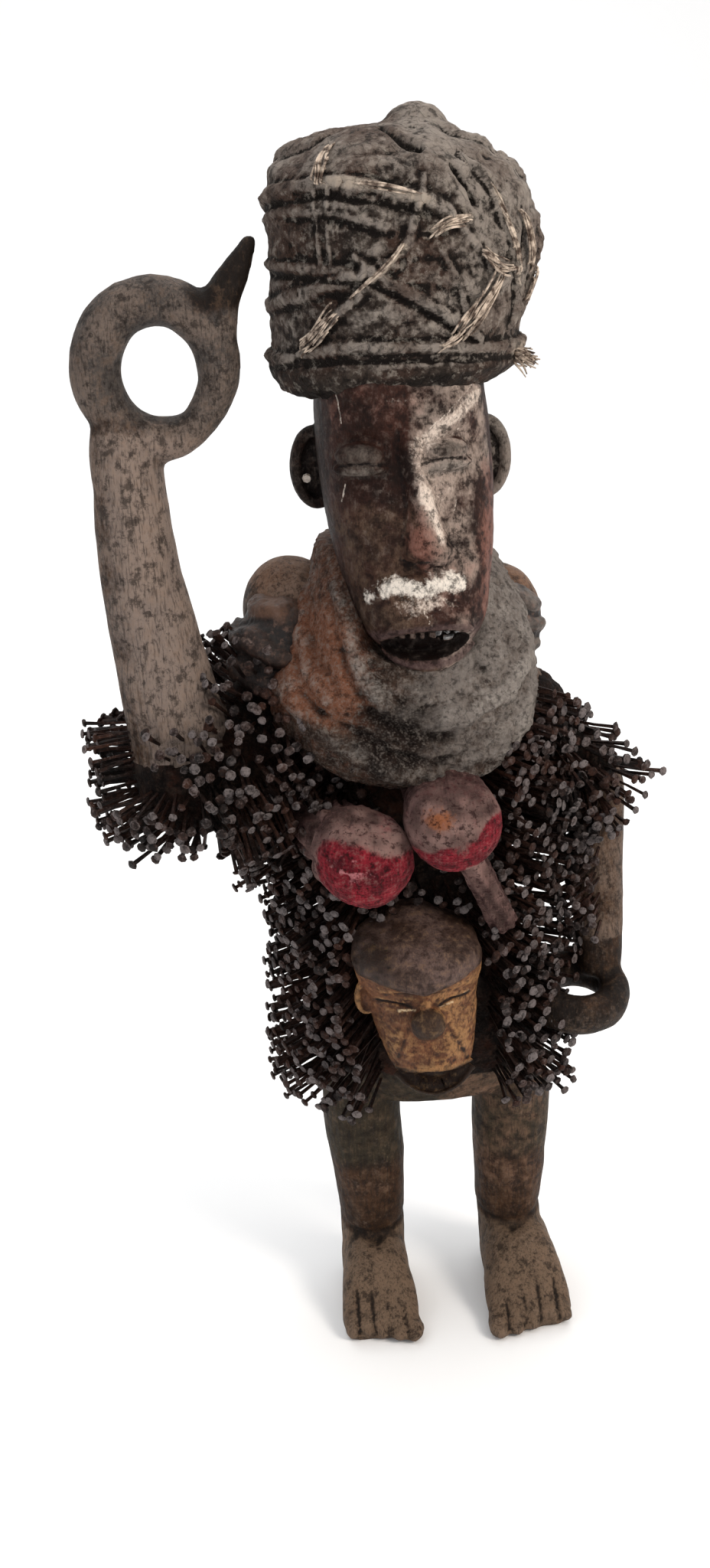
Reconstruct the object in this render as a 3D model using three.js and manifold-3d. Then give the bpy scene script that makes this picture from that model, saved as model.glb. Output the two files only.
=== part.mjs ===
// Standing power figure of carved wood, with a cord-bound turban, a resin collar, two red cloth
// bundles, a small carved head on its belly, and iron nails driven into its arms and trunk.
// Millimetres, +Z up. The figure faces -Y, and +X is its own left.

import * as THREE from "three";
import { mergeVertices } from "three/addons/utils/BufferGeometryUtils.js";
import Module from "manifold-3d";

const wasm = await Module();
wasm.setup();

// Legs and feet
const soleToHip = 200;
const legSpacing = 119; // centre to centre
const legTopWidth = 64;
const ankleWidth = 52;
const rightFootLength = 130;
const leftFootLength = 136; // it is carved a little larger
const rightFootWidth = 64;
const leftFootWidth = 70;
const instepHeight = 60;
const toeHeight = 17;

// Trunk
const hipToShoulder = 390;
const hipWidth = 172;
const waistWidth = 148;
const shoulderWidth = 176;
const trunkDepth = 112;

// Raised right arm, ending in a ring fist with a thumb spike
const rightUpperArm = 118; // shoulder to elbow
const rightForearm = 252; // elbow to wrist
const rightElbowWidth = 78;
const rightWristWidth = 52;
const rightRingAcross = 118; // outside of the ring
const rightRingThick = 33;
const rightArmBow = 8; // how far the forearm bows outwards
const thumbLength = 52; // the spike beyond the ring

// Left arm, with its ring fist on the hip
const leftUpperArm = 118;
const leftForearm = 132;
const leftElbowWidth = 46;
const leftWristWidth = 38;
const leftRingAcross = 84;
const leftRingThick = 30;

// Head
const chinBelowShoulder = 20; // the chin hangs in front of the chest
const headHeight = 280; // chin to crown, under the turban
const headWidth = 124;
const headDepth = 148;
const neckWidth = 84;
const earHeight = 62;
const earReach = 20; // how far an ear stands off the head
const earStudAcross = 7;

// Turban
const rimAboveChin = 193;
const turbanHeight = 174; // rim to top, without the knob
const turbanWidth = 194;
const turbanDepth = 186;
const turbanKnob = 46; // knob on the turban's top, across
const cordThick = 5;

// Collar
const collarWidth = 200;
const collarDrop = 172; // from the neck down to the hem in front
const collarDepth = 165;
const hemThick = 13;

// Bundles and belly head
const bundleAcross = 66;
const bundleReach = 105; // out from the chest
const bellyHeadHeight = 141;
const bellyHeadWidth = 96;

// Nails and the crust that their roots stand in
const nailLength = 58; // what shows of the longest
const nailShank = 3.4; // across
const nailHead = 8.4; // across
const nailHeadThick = 2.2;
const crustThick = 4;

const clearance = 0.3; // between pieces that touch
const facetSlack = 0.25; // how far a cut face may move when its smallest facets are merged
const sharpest = 0.4; // cosine that limits how far a corner moves when its facets move out

// Places that several forms share
const bodyX = 7; // the legs stand a little to the figure's left of the head
const hipZ = soleToHip;
const shoulderZ = hipZ + hipToShoulder;
const chinZ = shoulderZ - chinBelowShoulder;
const rimZ = chinZ + rimAboveChin;

// Smooth value through a list of evenly spaced ones, with t from 0 to 1
function smooth(list, t) {
  const last = list.length - 1;
  const place = Math.min(Math.max(t, 0), 1) * last;
  const i = Math.min(Math.floor(place), last - 1);
  const f = place - i;
  const pick = (k) => list[Math.min(Math.max(k, 0), last)];
  const [a, b, c, d] = [pick(i - 1), pick(i), pick(i + 1), pick(i + 2)];
  return b + 0.5 * f * (c - a + f * (2 * a - 5 * b + 4 * c - d + f * (3 * (b - c) + d - a)));
}

// Soft hill, 1 at its centre
function hill(distance, reach) {
  return Math.exp(-((distance / reach) ** 2));
}

// Repeatable random numbers from 0 to 1
function seeded(seed) {
  let state = seed;
  return () => {
    state = (state * 1664525 + 1013904223) % 4294967296;
    return state / 4294967296;
  };
}

// A limb's section at t: its centre, its two axes and its half sizes.
// Stations are [x, y, z, half width, half depth], evenly spaced in t.
function sectionAt(limb, t, swell = 0) {
  const column = (k) => limb.stations.map((station) => station[k]);
  const centreAt = (s) => new THREE.Vector3(...[0, 1, 2].map((k) => smooth(column(k), s)));
  const step = 0.02;
  const along = limb.level
    ? new THREE.Vector3(0, 0, 1)
    : centreAt(Math.min(t + step, 1)).sub(centreAt(Math.max(t - step, 0))).normalize();
  const across = (limb.side ?? new THREE.Vector3(1, 0, 0)).clone();
  across.addScaledVector(along, -across.dot(along)).normalize();
  const deep = new THREE.Vector3().crossVectors(along, across);
  const wide = Math.max(smooth(column(3), t), 0.5) + swell;
  const thick = Math.max(smooth(column(4), t), 0.5) + swell;
  return { centre: centreAt(t), along, across, deep, wide, thick };
}

// Point on a limb's skin at t and angle, and the way out of it there
function skinPoint(limb, t, angle, swell = 0) {
  const s = sectionAt(limb, t, swell);
  const boxy = 2 / (limb.boxy ?? 2);
  const round = (v) => Math.sign(v) * Math.abs(v) ** boxy;
  const [c, d] = [round(Math.cos(angle)), round(Math.sin(angle))];
  const point = s.centre.clone();
  point.addScaledVector(s.across, c * s.wide).addScaledVector(s.deep, d * s.thick);
  const out = s.across.clone().multiplyScalar(Math.cos(angle) / s.wide);
  out.addScaledVector(s.deep, Math.sin(angle) / s.thick).normalize();
  return { point, out };
}

// A limb's solid: a cylinder bent and swollen along its stations, or only its steps from first to last
function limbGeometry(limb, { first = 0, last = limb.steps, swell = 0 } = {}) {
  const form = new THREE.CylinderGeometry(1, 1, 1, limb.sides, last - first);
  const place = form.attributes.position;
  for (let i = 0; i < place.count; i++) {
    const t = (first + (last - first) * (0.5 - place.getY(i))) / limb.steps;
    const angle = Math.atan2(place.getZ(i), place.getX(i));
    const out = Math.hypot(place.getX(i), place.getZ(i));
    const { centre } = sectionAt(limb, t, swell);
    const skin = skinPoint(limb, t, angle, swell).point;
    const spot = centre.clone().lerp(skin, Math.min(out, 1));
    place.setXYZ(i, spot.x, spot.y, spot.z);
  }
  return form;
}

// Closed geometry to a solid that can be joined and cut
function solidOf(geometry) {
  const bare = geometry.index ? geometry.clone() : mergeVertices(geometry);
  bare.deleteAttribute("normal");
  bare.deleteAttribute("uv");
  const merged = mergeVertices(bare, 1e-4);
  const corners = [];
  for (let i = 0; i < merged.index.count; i += 3) {
    const [a, b, c] = [0, 1, 2].map((k) => merged.index.getX(i + k));
    if (a !== b && b !== c && c !== a) corners.push(a, b, c);
  }
  const mesh = new wasm.Mesh({
    numProp: 3,
    vertProperties: Float32Array.from(merged.attributes.position.array),
    triVerts: Uint32Array.from(corners),
  });
  return new wasm.Manifold(mesh);
}

function joined(solids) {
  return solids.reduce((whole, next) => whole.add(next));
}

// The largest body of a joined or cut solid, without loose slivers and with its smallest facets merged
function mainBody(solid) {
  const bodies = solid.simplify(facetSlack).decompose();
  return bodies.reduce((best, next) => (next.volume() > best.volume() ? next : best));
}

function geometryOf(solid) {
  const mesh = solid.getMesh();
  const geometry = new THREE.BufferGeometry();
  geometry.setAttribute("position", new THREE.BufferAttribute(Float32Array.from(mesh.vertProperties), 3));
  geometry.setIndex(new THREE.BufferAttribute(Uint32Array.from(mesh.triVerts), 1));
  return geometry;
}

// The same solid with every facet moved out, which cuts a neighbour with a gap left between them
function grown(solid, by = clearance + facetSlack) {
  const geometry = geometryOf(solid);
  geometry.computeVertexNormals();
  const { position: place, normal } = geometry.attributes;
  const { index } = geometry;
  const corner = (attribute, i) => new THREE.Vector3().fromBufferAttribute(attribute, i);
  const least = new Float32Array(place.count).fill(1);
  for (let f = 0; f < index.count; f += 3) {
    const ids = [0, 1, 2].map((k) => index.getX(f + k));
    const facet = new THREE.Triangle(...ids.map((i) => corner(place, i)));
    const facing = facet.getNormal(new THREE.Vector3());
    ids.forEach((i) => {
      least[i] = Math.min(least[i], facing.dot(corner(normal, i)));
    });
  }
  for (let i = 0; i < place.count; i++) {
    const spot = corner(place, i).addScaledVector(corner(normal, i), by / Math.max(least[i], sharpest));
    place.setXYZ(i, spot.x, spot.y, spot.z);
  }
  return solidOf(geometry);
}

// Room that a piece takes from its neighbours: its whole forms, each with its skin moved out
function roomOf(forms) {
  return joined(forms.map((form) => grown(form)));
}

// A piece from its whole forms, cut where the rooms of its neighbours are
function fitted(forms, rooms) {
  return mainBody(joined(forms).subtract(joined(rooms)));
}

// Ball with its own three half sizes and turn
function ball(centre, [rx, ry, rz], { sides = 10, rings = 7, turn = [0, 0, 0] } = {}) {
  const form = new THREE.SphereGeometry(1, sides, rings);
  form.rotateX(Math.PI / 2).scale(rx, ry, rz);
  const euler = new THREE.Euler(...turn);
  form.applyMatrix4(new THREE.Matrix4().makeRotationFromEuler(euler));
  return form.translate(centre.x, centre.y, centre.z);
}

// Closed ring: a torus with its own width and height, whose tube may swell around it
function ringGeometry(centre, { across, high, thick, deep, turn, sides, steps, swell }) {
  const form = new THREE.TorusGeometry(1, 0.5, sides, steps);
  const place = form.attributes.position;
  for (let i = 0; i < place.count; i++) {
    const angle = Math.atan2(place.getY(i), place.getX(i));
    const out = (Math.hypot(place.getX(i), place.getY(i)) - 1) / 0.5;
    const fat = swell ? swell(angle) : 1;
    const [rx, ry] = [(across - thick) / 2, (high - thick) / 2];
    const reach = (out * fat * thick) / 2;
    place.setXYZ(
      i,
      Math.cos(angle) * (rx + reach),
      Math.sin(angle) * (ry + reach),
      (place.getZ(i) / 0.5) * fat * (deep / 2),
    );
  }
  form.applyMatrix4(new THREE.Matrix4().makeRotationFromEuler(new THREE.Euler(...turn)));
  return form.translate(centre.x, centre.y, centre.z);
}

const V = (x, y, z) => new THREE.Vector3(x, y, z);

// Legs: a leg runs from inside the foot up into the trunk
function legLimb(hand) {
  const x = bodyX + (hand * legSpacing) / 2;
  const [top, low] = [legTopWidth / 2, ankleWidth / 2];
  const calf = (top + low) / 2 + 1;
  return {
    boxy: 2.2,
    sides: 9,
    steps: 4,
    stations: [
      [x, 6, 8, low, low * 0.96],
      [x - hand, 3, hipZ * 0.32, low + 1, low * 1.08],
      [x, 0, hipZ * 0.58, calf, calf * 1.04],
      [x + hand * 3, 0, hipZ * 0.9, top, top],
      [x, 0, hipZ * 1.25, top * 0.85, top * 0.9],
    ],
  };
}

// Feet: heel to toes along -Y, flat below
const heelY = 32;

function footSize(hand) {
  return hand < 0 ? [rightFootLength, rightFootWidth] : [leftFootLength, leftFootWidth];
}

function footLimb(hand) {
  const [length, width] = footSize(hand);
  const x = bodyX + (hand * legSpacing) / 2;
  const splay = hand > 0 ? 6 : 0;
  const at = (share, widthShare, high) => [
    x + splay * share, heelY - length * share, high * 0.42, (width / 2) * widthShare, high * 0.58,
  ];
  return {
    boxy: 2.3,
    sides: 9,
    steps: 4,
    stations: [
      at(0, 0.5, instepHeight * 0.6),
      at(0.2, 0.82, instepHeight * 0.97),
      at(0.45, 0.88, instepHeight),
      at(0.7, 1, toeHeight * 2),
      at(0.9, 0.93, toeHeight),
    ],
  };
}

function toes(hand) {
  const [length, width] = footSize(hand);
  const base = sectionAt(footLimb(hand), 0.86).centre;
  const count = 5;
  return Array.from({ length: count }, (unused, i) => {
    const share = i / (count - 1); // 0 is the big toe, on the inner side
    const radius = width * (i === 0 ? 0.14 : 0.105);
    const reach = length * 0.12;
    const tipY = heelY - length * (1 - 0.15 * share ** 1.6);
    const centre = V(base.x + hand * width * (share - 0.5) * 0.8, tipY + reach, toeHeight * 0.45);
    return solidOf(ball(centre, [radius, reach, toeHeight * 0.52], { sides: 5, rings: 3 }));
  });
}

// Trunk, from the crotch to the root of the neck
const trunk = {
  level: true,
  boxy: 2.3,
  sides: 12,
  steps: 9,
  stations: [
    [bodyX + 2, 2, hipZ - 10, hipWidth * 0.36, trunkDepth * 0.34],
    [bodyX + 2, 0, hipZ + hipToShoulder * 0.06, hipWidth / 2, trunkDepth * 0.49],
    [bodyX, -4, hipZ + hipToShoulder * 0.2, hipWidth * 0.47, trunkDepth * 0.54],
    [bodyX - 5, -6, hipZ + hipToShoulder * 0.36, waistWidth / 2, trunkDepth * 0.54],
    [bodyX - 9, -2, hipZ + hipToShoulder * 0.54, waistWidth / 2, trunkDepth * 0.5],
    [bodyX - 13, 4, hipZ + hipToShoulder * 0.76, shoulderWidth * 0.46, trunkDepth * 0.46],
    [bodyX - 16, 8, hipZ + hipToShoulder * 0.94, shoulderWidth / 2, trunkDepth * 0.43],
    [bodyX - 13, 9, hipZ + hipToShoulder * 1.06, shoulderWidth * 0.38, trunkDepth * 0.38],
    [bodyX - 9, 8, hipZ + hipToShoulder * 1.15, neckWidth / 2, neckWidth * 0.46],
  ],
};

// Arms. Each joint is placed from the one before it.
const rightShoulder = V(bodyX - 16 - shoulderWidth * 0.38, 4, shoulderZ - 52);
const rightElbow = rightShoulder.clone().addScaledVector(V(-0.8, -0.3, -0.52).normalize(), rightUpperArm);
const rightWrist = rightElbow.clone().addScaledVector(V(-0.083, 0, 1).normalize(), rightForearm);
const rightRing = rightWrist.clone().add(V(rightRingAcross * 0.2, 0, rightRingAcross * 0.49));

const leftShoulder = V(bodyX - 16 + shoulderWidth * 0.44, 5, shoulderZ - 56);
const leftElbow = leftShoulder.clone().addScaledVector(V(0.63, -0.02, -0.78).normalize(), leftUpperArm);
const leftWrist = leftElbow.clone().addScaledVector(V(-0.03, -0.26, -0.96).normalize(), leftForearm);
const leftRing = leftWrist.clone();
leftRing.add(V(-leftRingAcross * 0.25, -leftRingAcross * 0.2, -leftRingThick * 0.9));

function between(a, b, share) {
  return a.clone().lerp(b, share);
}

function station(point, wide, deep = wide) {
  return [point.x, point.y, point.z, wide, deep];
}

const rightUpperLimb = {
  side: V(0, 1, 0),
  sides: 9,
  steps: 3,
  stations: [
    station(between(rightShoulder, rightElbow, -0.1), rightElbowWidth * 0.3),
    station(between(rightShoulder, rightElbow, 0.1), rightElbowWidth * 0.46),
    station(between(rightShoulder, rightElbow, 0.55), rightElbowWidth * 0.45),
    station(between(rightShoulder, rightElbow, 1), rightElbowWidth * 0.46),
  ],
};

function bowed(share, bow) {
  return between(rightElbow, rightWrist, share).add(V(-rightArmBow * bow, 0, 0));
}

const rightForearmLimb = {
  sides: 10,
  steps: 5,
  stations: [
    station(between(rightElbow, rightWrist, -0.12), rightElbowWidth * 0.3),
    station(between(rightElbow, rightWrist, 0.02), rightElbowWidth * 0.49),
    station(bowed(0.3, 0.5), rightElbowWidth * 0.45),
    station(bowed(0.65, 1), rightElbowWidth * 0.19 + rightWristWidth * 0.28),
    station(bowed(1, 0.5), rightWristWidth * 0.48),
    station(between(rightElbow, rightWrist, 1.09), rightWristWidth * 0.46, rightRingThick * 0.55),
  ],
};

const leftUpperLimb = {
  side: V(0, 1, 0),
  sides: 9,
  steps: 3,
  stations: [
    station(between(leftShoulder, leftElbow, -0.1), leftElbowWidth * 0.45),
    station(between(leftShoulder, leftElbow, 0.15), leftElbowWidth * 0.62),
    station(between(leftShoulder, leftElbow, 0.6), leftElbowWidth * 0.54),
    station(between(leftShoulder, leftElbow, 1), leftElbowWidth * 0.5),
  ],
};

const leftForearmLimb = {
  sides: 9,
  steps: 4,
  stations: [
    station(between(leftElbow, leftWrist, -0.14), leftElbowWidth * 0.36),
    station(between(leftElbow, leftWrist, 0), leftElbowWidth * 0.5),
    station(between(leftElbow, leftWrist, 0.45), leftElbowWidth * 0.46),
    station(between(leftElbow, leftWrist, 1), leftWristWidth * 0.5),
    station(between(leftElbow, leftWrist, 1.15), leftWristWidth * 0.4, leftRingThick * 0.6),
  ],
};

// Thumb: it hugs the ring's inner side and runs up into a free spike
function thumbLimb() {
  const onRing = (degrees, share) => {
    const angle = THREE.MathUtils.degToRad(degrees);
    const way = V(Math.cos(angle), 0, Math.sin(angle));
    return rightRing.clone().addScaledVector(way, rightRingAcross * share);
  };
  const root = onRing(41, 0.515);
  const tip = root.clone().addScaledVector(V(0.5, 0, 0.87).normalize(), thumbLength);
  return {
    sides: 7,
    steps: 5,
    stations: [
      station(onRing(-55, 0.36), rightRingThick * 0.28, rightRingThick * 0.36),
      station(onRing(-22, 0.35), rightRingThick * 0.38, rightRingThick * 0.5),
      station(onRing(10, 0.37), rightRingThick * 0.38, rightRingThick * 0.5),
      station(root, rightRingThick * 0.42),
      station(between(root, tip, 0.5), rightRingThick * 0.31),
      station(tip, rightRingThick * 0.14),
    ],
  };
}

function armSolids() {
  // the ring is thick over its knuckles, at the upper left, and thin where the palm would be
  const near = (angle, degrees, reach) => hill(Math.sin((angle - THREE.MathUtils.degToRad(degrees)) / 2), reach);
  const knuckles = (angle) => 1 + 0.15 * near(angle, 150, 0.45) - 0.28 * near(angle, -43, 0.3);
  return [
    limbGeometry(rightUpperLimb),
    limbGeometry(rightForearmLimb),
    ringGeometry(rightRing, {
      across: rightRingAcross,
      high: rightRingAcross * 1.08,
      thick: rightRingThick,
      deep: rightRingThick * 1.1,
      turn: [Math.PI / 2, 0, 0],
      sides: 6,
      steps: 15,
      swell: knuckles,
    }),
    limbGeometry(thumbLimb()),
    limbGeometry(leftUpperLimb),
    limbGeometry(leftForearmLimb),
    ringGeometry(leftRing, {
      across: leftRingAcross,
      high: leftRingAcross * 0.96,
      thick: leftRingThick * 0.86,
      deep: leftRingThick * 1.15,
      turn: [0.3, 0.05, 0],
      sides: 6,
      steps: 12,
    }),
    ...[-1, 1].map((hand) => ball(
      V(bodyX - 16 + hand * shoulderWidth * 0.42, 12, shoulderZ - 5 - hand * 8),
      [shoulderWidth * 0.22, trunkDepth * 0.37, shoulderWidth * 0.26],
      { sides: 8, rings: 5, turn: [0, hand * 0.25, 0] },
    )),
  ].map(solidOf);
}

// Head: half width, front and back as shares, from chin to crown
const headProfile = {
  half: [0.1, 0.34, 0.42, 0.47, 0.495, 0.5, 0.485, 0.46, 0.38, 0.06],
  front: [0.46, 0.53, 0.52, 0.48, 0.45, 0.44, 0.43, 0.4, 0.24, 0.02],
  back: [-0.22, 0.0, 0.2, 0.36, 0.46, 0.52, 0.54, 0.5, 0.36, 0.05],
};
const headX = 2;
const headY = -25;

const headLean = -10; // how far the crown is set from the chin, along x
const eyeX = -1; // middle of the face at the eyes

// Places of the face's features, as shares of the head's height
const eyeShare = 0.555;
const noseShare = 0.3;
const moustacheShare = 0.25;
const mouthShare = 0.093;
const headLevels = [0, 0.03, 0.07, 0.13, 0.2, 0.28, 0.38, 0.48, eyeShare, 0.65, 0.8, 1];

// Relief of the face at x from its middle and share of the head's height: how far it stands forward
function faceRelief(x, share) {
  const w = headWidth;
  const up = (at) => (share - at) * headHeight;
  const side = Math.abs(x);
  const sockets = -6 * hill(side - w * 0.25, w * 0.17) * hill(up(eyeShare), headHeight * 0.07);
  const brow = 3 * hill(up(eyeShare + 0.09), headHeight * 0.03) * hill(side - w * 0.22, w * 0.2);
  const muzzle = 8 * hill(x, w * 0.3) * hill(up(0.14), headHeight * 0.1);
  return sockets + brow + muzzle;
}

// Point on the head at a share of its height and an angle around it, 0 at the front
function headPoint(share, angle) {
  const boxy = 2 / (Math.cos(angle) > 0 ? 2.5 : 2.1);
  const round = (v) => Math.sign(v) * Math.abs(v) ** boxy;
  const half = smooth(headProfile.half, share) * headWidth;
  const front = -smooth(headProfile.front, share) * headDepth;
  const back = smooth(headProfile.back, share) * headDepth;
  const x = round(Math.sin(angle)) * half;
  const y = (front + back) / 2 + (round(Math.cos(angle)) * (front - back)) / 2;
  const facing = Math.max(Math.cos(angle), 0) ** 0.5;
  return V(
    headX + headLean * (share - 0.5) + x,
    headY + y - faceRelief(x, share) * facing,
    chinZ + share * headHeight,
  );
}

// Straight nose that widens to its wings
function noseLimb() {
  const at = (share, wide, deep) => {
    const skin = headPoint(share, 0);
    return [skin.x + 1, skin.y + deep * 0.25, skin.z, headWidth * wide, deep];
  };
  return {
    level: true,
    boxy: 1.7,
    sides: 8,
    steps: 5,
    stations: [
      at(noseShare - 0.012, 0.12, 9),
      at(noseShare + 0.02, 0.175, 19),
      at(noseShare + 0.06, 0.14, 18),
      at(noseShare + 0.15, 0.095, 14),
      at(eyeShare, 0.07, 9),
      at(eyeShare + 0.08, 0.06, 4),
    ],
  };
}

function eyelids() {
  const skin = headPoint(eyeShare, 0);
  return [-1, 1].map((hand) => ball(
    V(eyeX + hand * headWidth * 0.25, skin.y + 4, skin.z),
    [headWidth * 0.155, 10, headHeight * 0.045],
    { sides: 8, rings: 5, turn: [0, 0, hand * 0.2] },
  ));
}

// Clipped moustache and the two lips, as low rolls across the face
function mouthRolls() {
  const roll = (share, half, high, proud, droop) => {
    const at = (k) => {
      const skin = headPoint(share, 0);
      const curve = k * k;
      const y = skin.y + 3 + curve * half * 0.3;
      return [skin.x + k * half, y, skin.z + droop * curve, high * (1 - 0.4 * curve), proud];
    };
    return { side: V(0, 0, 1), sides: 4, steps: 4, stations: [-1, -0.6, 0, 0.6, 1].map(at) };
  };
  return [
    roll(moustacheShare, headWidth * 0.25, headHeight * 0.028, 7, -6),
    roll(mouthShare + 0.062, headWidth * 0.25, headHeight * 0.02, 7, -9),
    roll(mouthShare - 0.062, headWidth * 0.24, headHeight * 0.024, 9, 12),
  ].map((limb) => limbGeometry(limb));
}

function mouthHollow() {
  const skin = headPoint(mouthShare, 0);
  const centre = V(skin.x, skin.y - 3, skin.z + 1);
  return solidOf(ball(centre, [headWidth * 0.225, 17, headHeight * 0.05], { sides: 10, rings: 6 }));
}

// Ears: upright C-shaped plates
function earCentre(hand) {
  return V(headX + hand * headWidth * 0.5 - 1, 4, chinZ + headHeight * 0.485);
}

function earSolid(hand) {
  const centre = earCentre(hand);
  const turned = { sides: 6, rings: 7, turn: [0, 0, -hand * 0.25] };
  const plate = ball(centre, [earReach, earHeight * 0.2, earHeight / 2], turned);
  const inner = centre.clone().add(V(hand * earReach * 0.45, -earHeight * 0.19, earHeight * 0.03));
  const hollow = ball(inner, [earReach * 0.42, earHeight * 0.12, earHeight * 0.3], { sides: 5, rings: 4 });
  return solidOf(plate).subtract(solidOf(hollow));
}

// Pale stud through the right ear, along -Y, with its head in front
function earStud() {
  const [r, long] = [earStudAcross / 2, earHeight * 0.38];
  const pin = r * 0.6;
  const profile = [[0, 0], [pin, 0], [pin, long * 0.8], [r, long * 0.86], [r * 0.8, long], [0, long]];
  const form = new THREE.LatheGeometry(profile.map(([x, y]) => new THREE.Vector2(x, y)), 8);
  form.rotateX(Math.PI);
  const ear = earCentre(-1);
  return solidOf(form.translate(ear.x - earReach * 0.35, ear.y + long * 0.3, ear.z - earHeight * 0.1));
}

function figureForms() {
  const legs = [-1, 1].flatMap((hand) => [
    solidOf(limbGeometry(legLimb(hand))),
    solidOf(limbGeometry(footLimb(hand))),
    ...toes(hand),
  ]);
  const neck = {
    sides: 8,
    steps: 2,
    stations: [
      [bodyX - 10, 8, shoulderZ - 10, neckWidth * 0.5, neckWidth * 0.48],
      [headX - 3, 4, chinZ + headHeight * 0.18, neckWidth * 0.5, neckWidth * 0.5],
      [headX, 0, chinZ + headHeight * 0.4, neckWidth * 0.52, neckWidth * 0.55],
    ],
  };
  const face = [limbGeometry(noseLimb()), ...eyelids(), ...mouthRolls()].map(solidOf);
  return [
    solidOf(limbGeometry(trunk)),
    ...legs,
    ...armSolids(),
    solidOf(limbGeometry(neck)),
    solidOf(faceForm(headPoint, headLevels, 14)),
    ...face,
    earSolid(-1),
    earSolid(1),
  ];
}

function carvedFigure(forms, stud) {
  return mainBody(joined(forms).trimByPlane([0, 0, 1], 0).subtract(joined([mouthHollow(), grown(stud)])));
}

// Turban: shares of its height, with centre and half sizes as shares of its width and depth
const turbanX = 6;
const turbanY = -4;
const turbanProfile = {
  x: [-0.05, -0.03, -0.03, -0.01, 0, 0, -0.01, -0.02, -0.02, 0, 0],
  half: [0.42, 0.475, 0.455, 0.47, 0.48, 0.485, 0.48, 0.46, 0.4, 0.28, 0.06],
  high: [0, 0.08, 0.18, 0.3, 0.42, 0.54, 0.67, 0.79, 0.89, 0.97, 1],
};

// Cords bound round it: share of its height, slope and the angle where it crosses that height
const cords = [
  [0.27, 0.02, 0.4],
  [0.62, 0.05, 2.6],
  [0.45, 0.2, 0.15],
  [0.4, -0.18, -0.1],
];

function turbanPoint(share, angle) {
  const half = smooth(turbanProfile.half, share);
  const x = smooth(turbanProfile.x, share) * turbanWidth;
  const lump = 1 + 0.018 * Math.sin(3 * angle + 7 * share) + 0.012 * Math.sin(5 * angle - 9 * share);
  const offCord = cords.map(([at, slope, phase]) => share - at - slope * Math.sin(angle - phase));
  const swell = cordThick * Math.max(...offCord.map((off) => hill(off, 0.035)));
  return V(
    turbanX + x + Math.sin(angle) * (half * turbanWidth * lump + swell),
    turbanY - Math.cos(angle) * (half * turbanDepth * lump + swell),
    rimZ + turbanHeight * smooth(turbanProfile.high, share),
  );
}

function turbanGeometry() {
  const form = new THREE.CylinderGeometry(1, 1, 1, 16, 11);
  const place = form.attributes.position;
  for (let i = 0; i < place.count; i++) {
    const share = 0.5 + place.getY(i);
    const angle = Math.atan2(place.getX(i), place.getZ(i));
    const out = Math.min(Math.hypot(place.getX(i), place.getZ(i)), 1);
    const skin = turbanPoint(share, angle);
    const middle = turbanPoint(share, 0).lerp(turbanPoint(share, Math.PI), 0.5);
    const spot = middle.lerp(skin, out);
    place.setXYZ(i, spot.x, spot.y, spot.z);
  }
  return form;
}

function turbanForms() {
  const knob = ball(
    V(turbanX + turbanWidth * 0.07, turbanY + 12, rimZ + turbanHeight - turbanKnob * 0.1),
    [turbanKnob / 2, turbanKnob / 2, turbanKnob * 0.42],
    { sides: 10, rings: 6 },
  );
  return [turbanGeometry(), knob].map(solidOf);
}

// Collar of resin and hide, hung round the neck like a bib
const collarLimb = {
  level: true,
  boxy: 2.2,
  sides: 12,
  steps: 8,
  stations: [
    [0, -58, shoulderZ + 62 - collarDrop, collarWidth * 0.16, collarDepth * 0.12],
    [-2, -50, shoulderZ + 62 - collarDrop * 0.92, collarWidth * 0.32, collarDepth * 0.3],
    [-6, -36, shoulderZ + 62 - collarDrop * 0.78, collarWidth * 0.44, collarDepth * 0.42],
    [-9, -22, shoulderZ + 62 - collarDrop * 0.58, collarWidth * 0.5, collarDepth * 0.5],
    [-9, -12, shoulderZ + 62 - collarDrop * 0.36, collarWidth * 0.48, collarDepth * 0.5],
    [-7, -4, shoulderZ + 62 - collarDrop * 0.16, collarWidth * 0.4, collarDepth * 0.42],
    [-4, 2, shoulderZ + 62, collarWidth * 0.29, collarDepth * 0.32],
  ],
};

// The collar's skin at t up it and an angle round it, -90 degrees at the front, with its two rolls
function collarPoint(t, angle) {
  const { point, out } = skinPoint(collarLimb, t, angle);
  const aside = Math.abs(Math.sin((angle + Math.PI / 2) / 2)); // 0 at the front, 1 at the back
  const hem = hill(t - (0.14 + 0.4 * aside), 0.07);
  const fold = 0.8 * hill(t - (0.43 + 0.4 * aside), 0.07);
  return point.addScaledVector(out, hemThick * 0.55 * (hem + fold) * hill(aside, 0.75));
}

function collarGeometry() {
  const form = new THREE.CylinderGeometry(1, 1, 1, collarLimb.sides, collarLimb.steps);
  const place = form.attributes.position;
  for (let i = 0; i < place.count; i++) {
    const t = 0.5 - place.getY(i);
    const out = Math.min(Math.hypot(place.getX(i), place.getZ(i)), 1);
    const skin = collarPoint(t, Math.atan2(place.getZ(i), place.getX(i)));
    const spot = sectionAt(collarLimb, t).centre.lerp(skin, out);
    place.setXYZ(i, spot.x, spot.y, spot.z);
  }
  return form;
}

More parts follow.
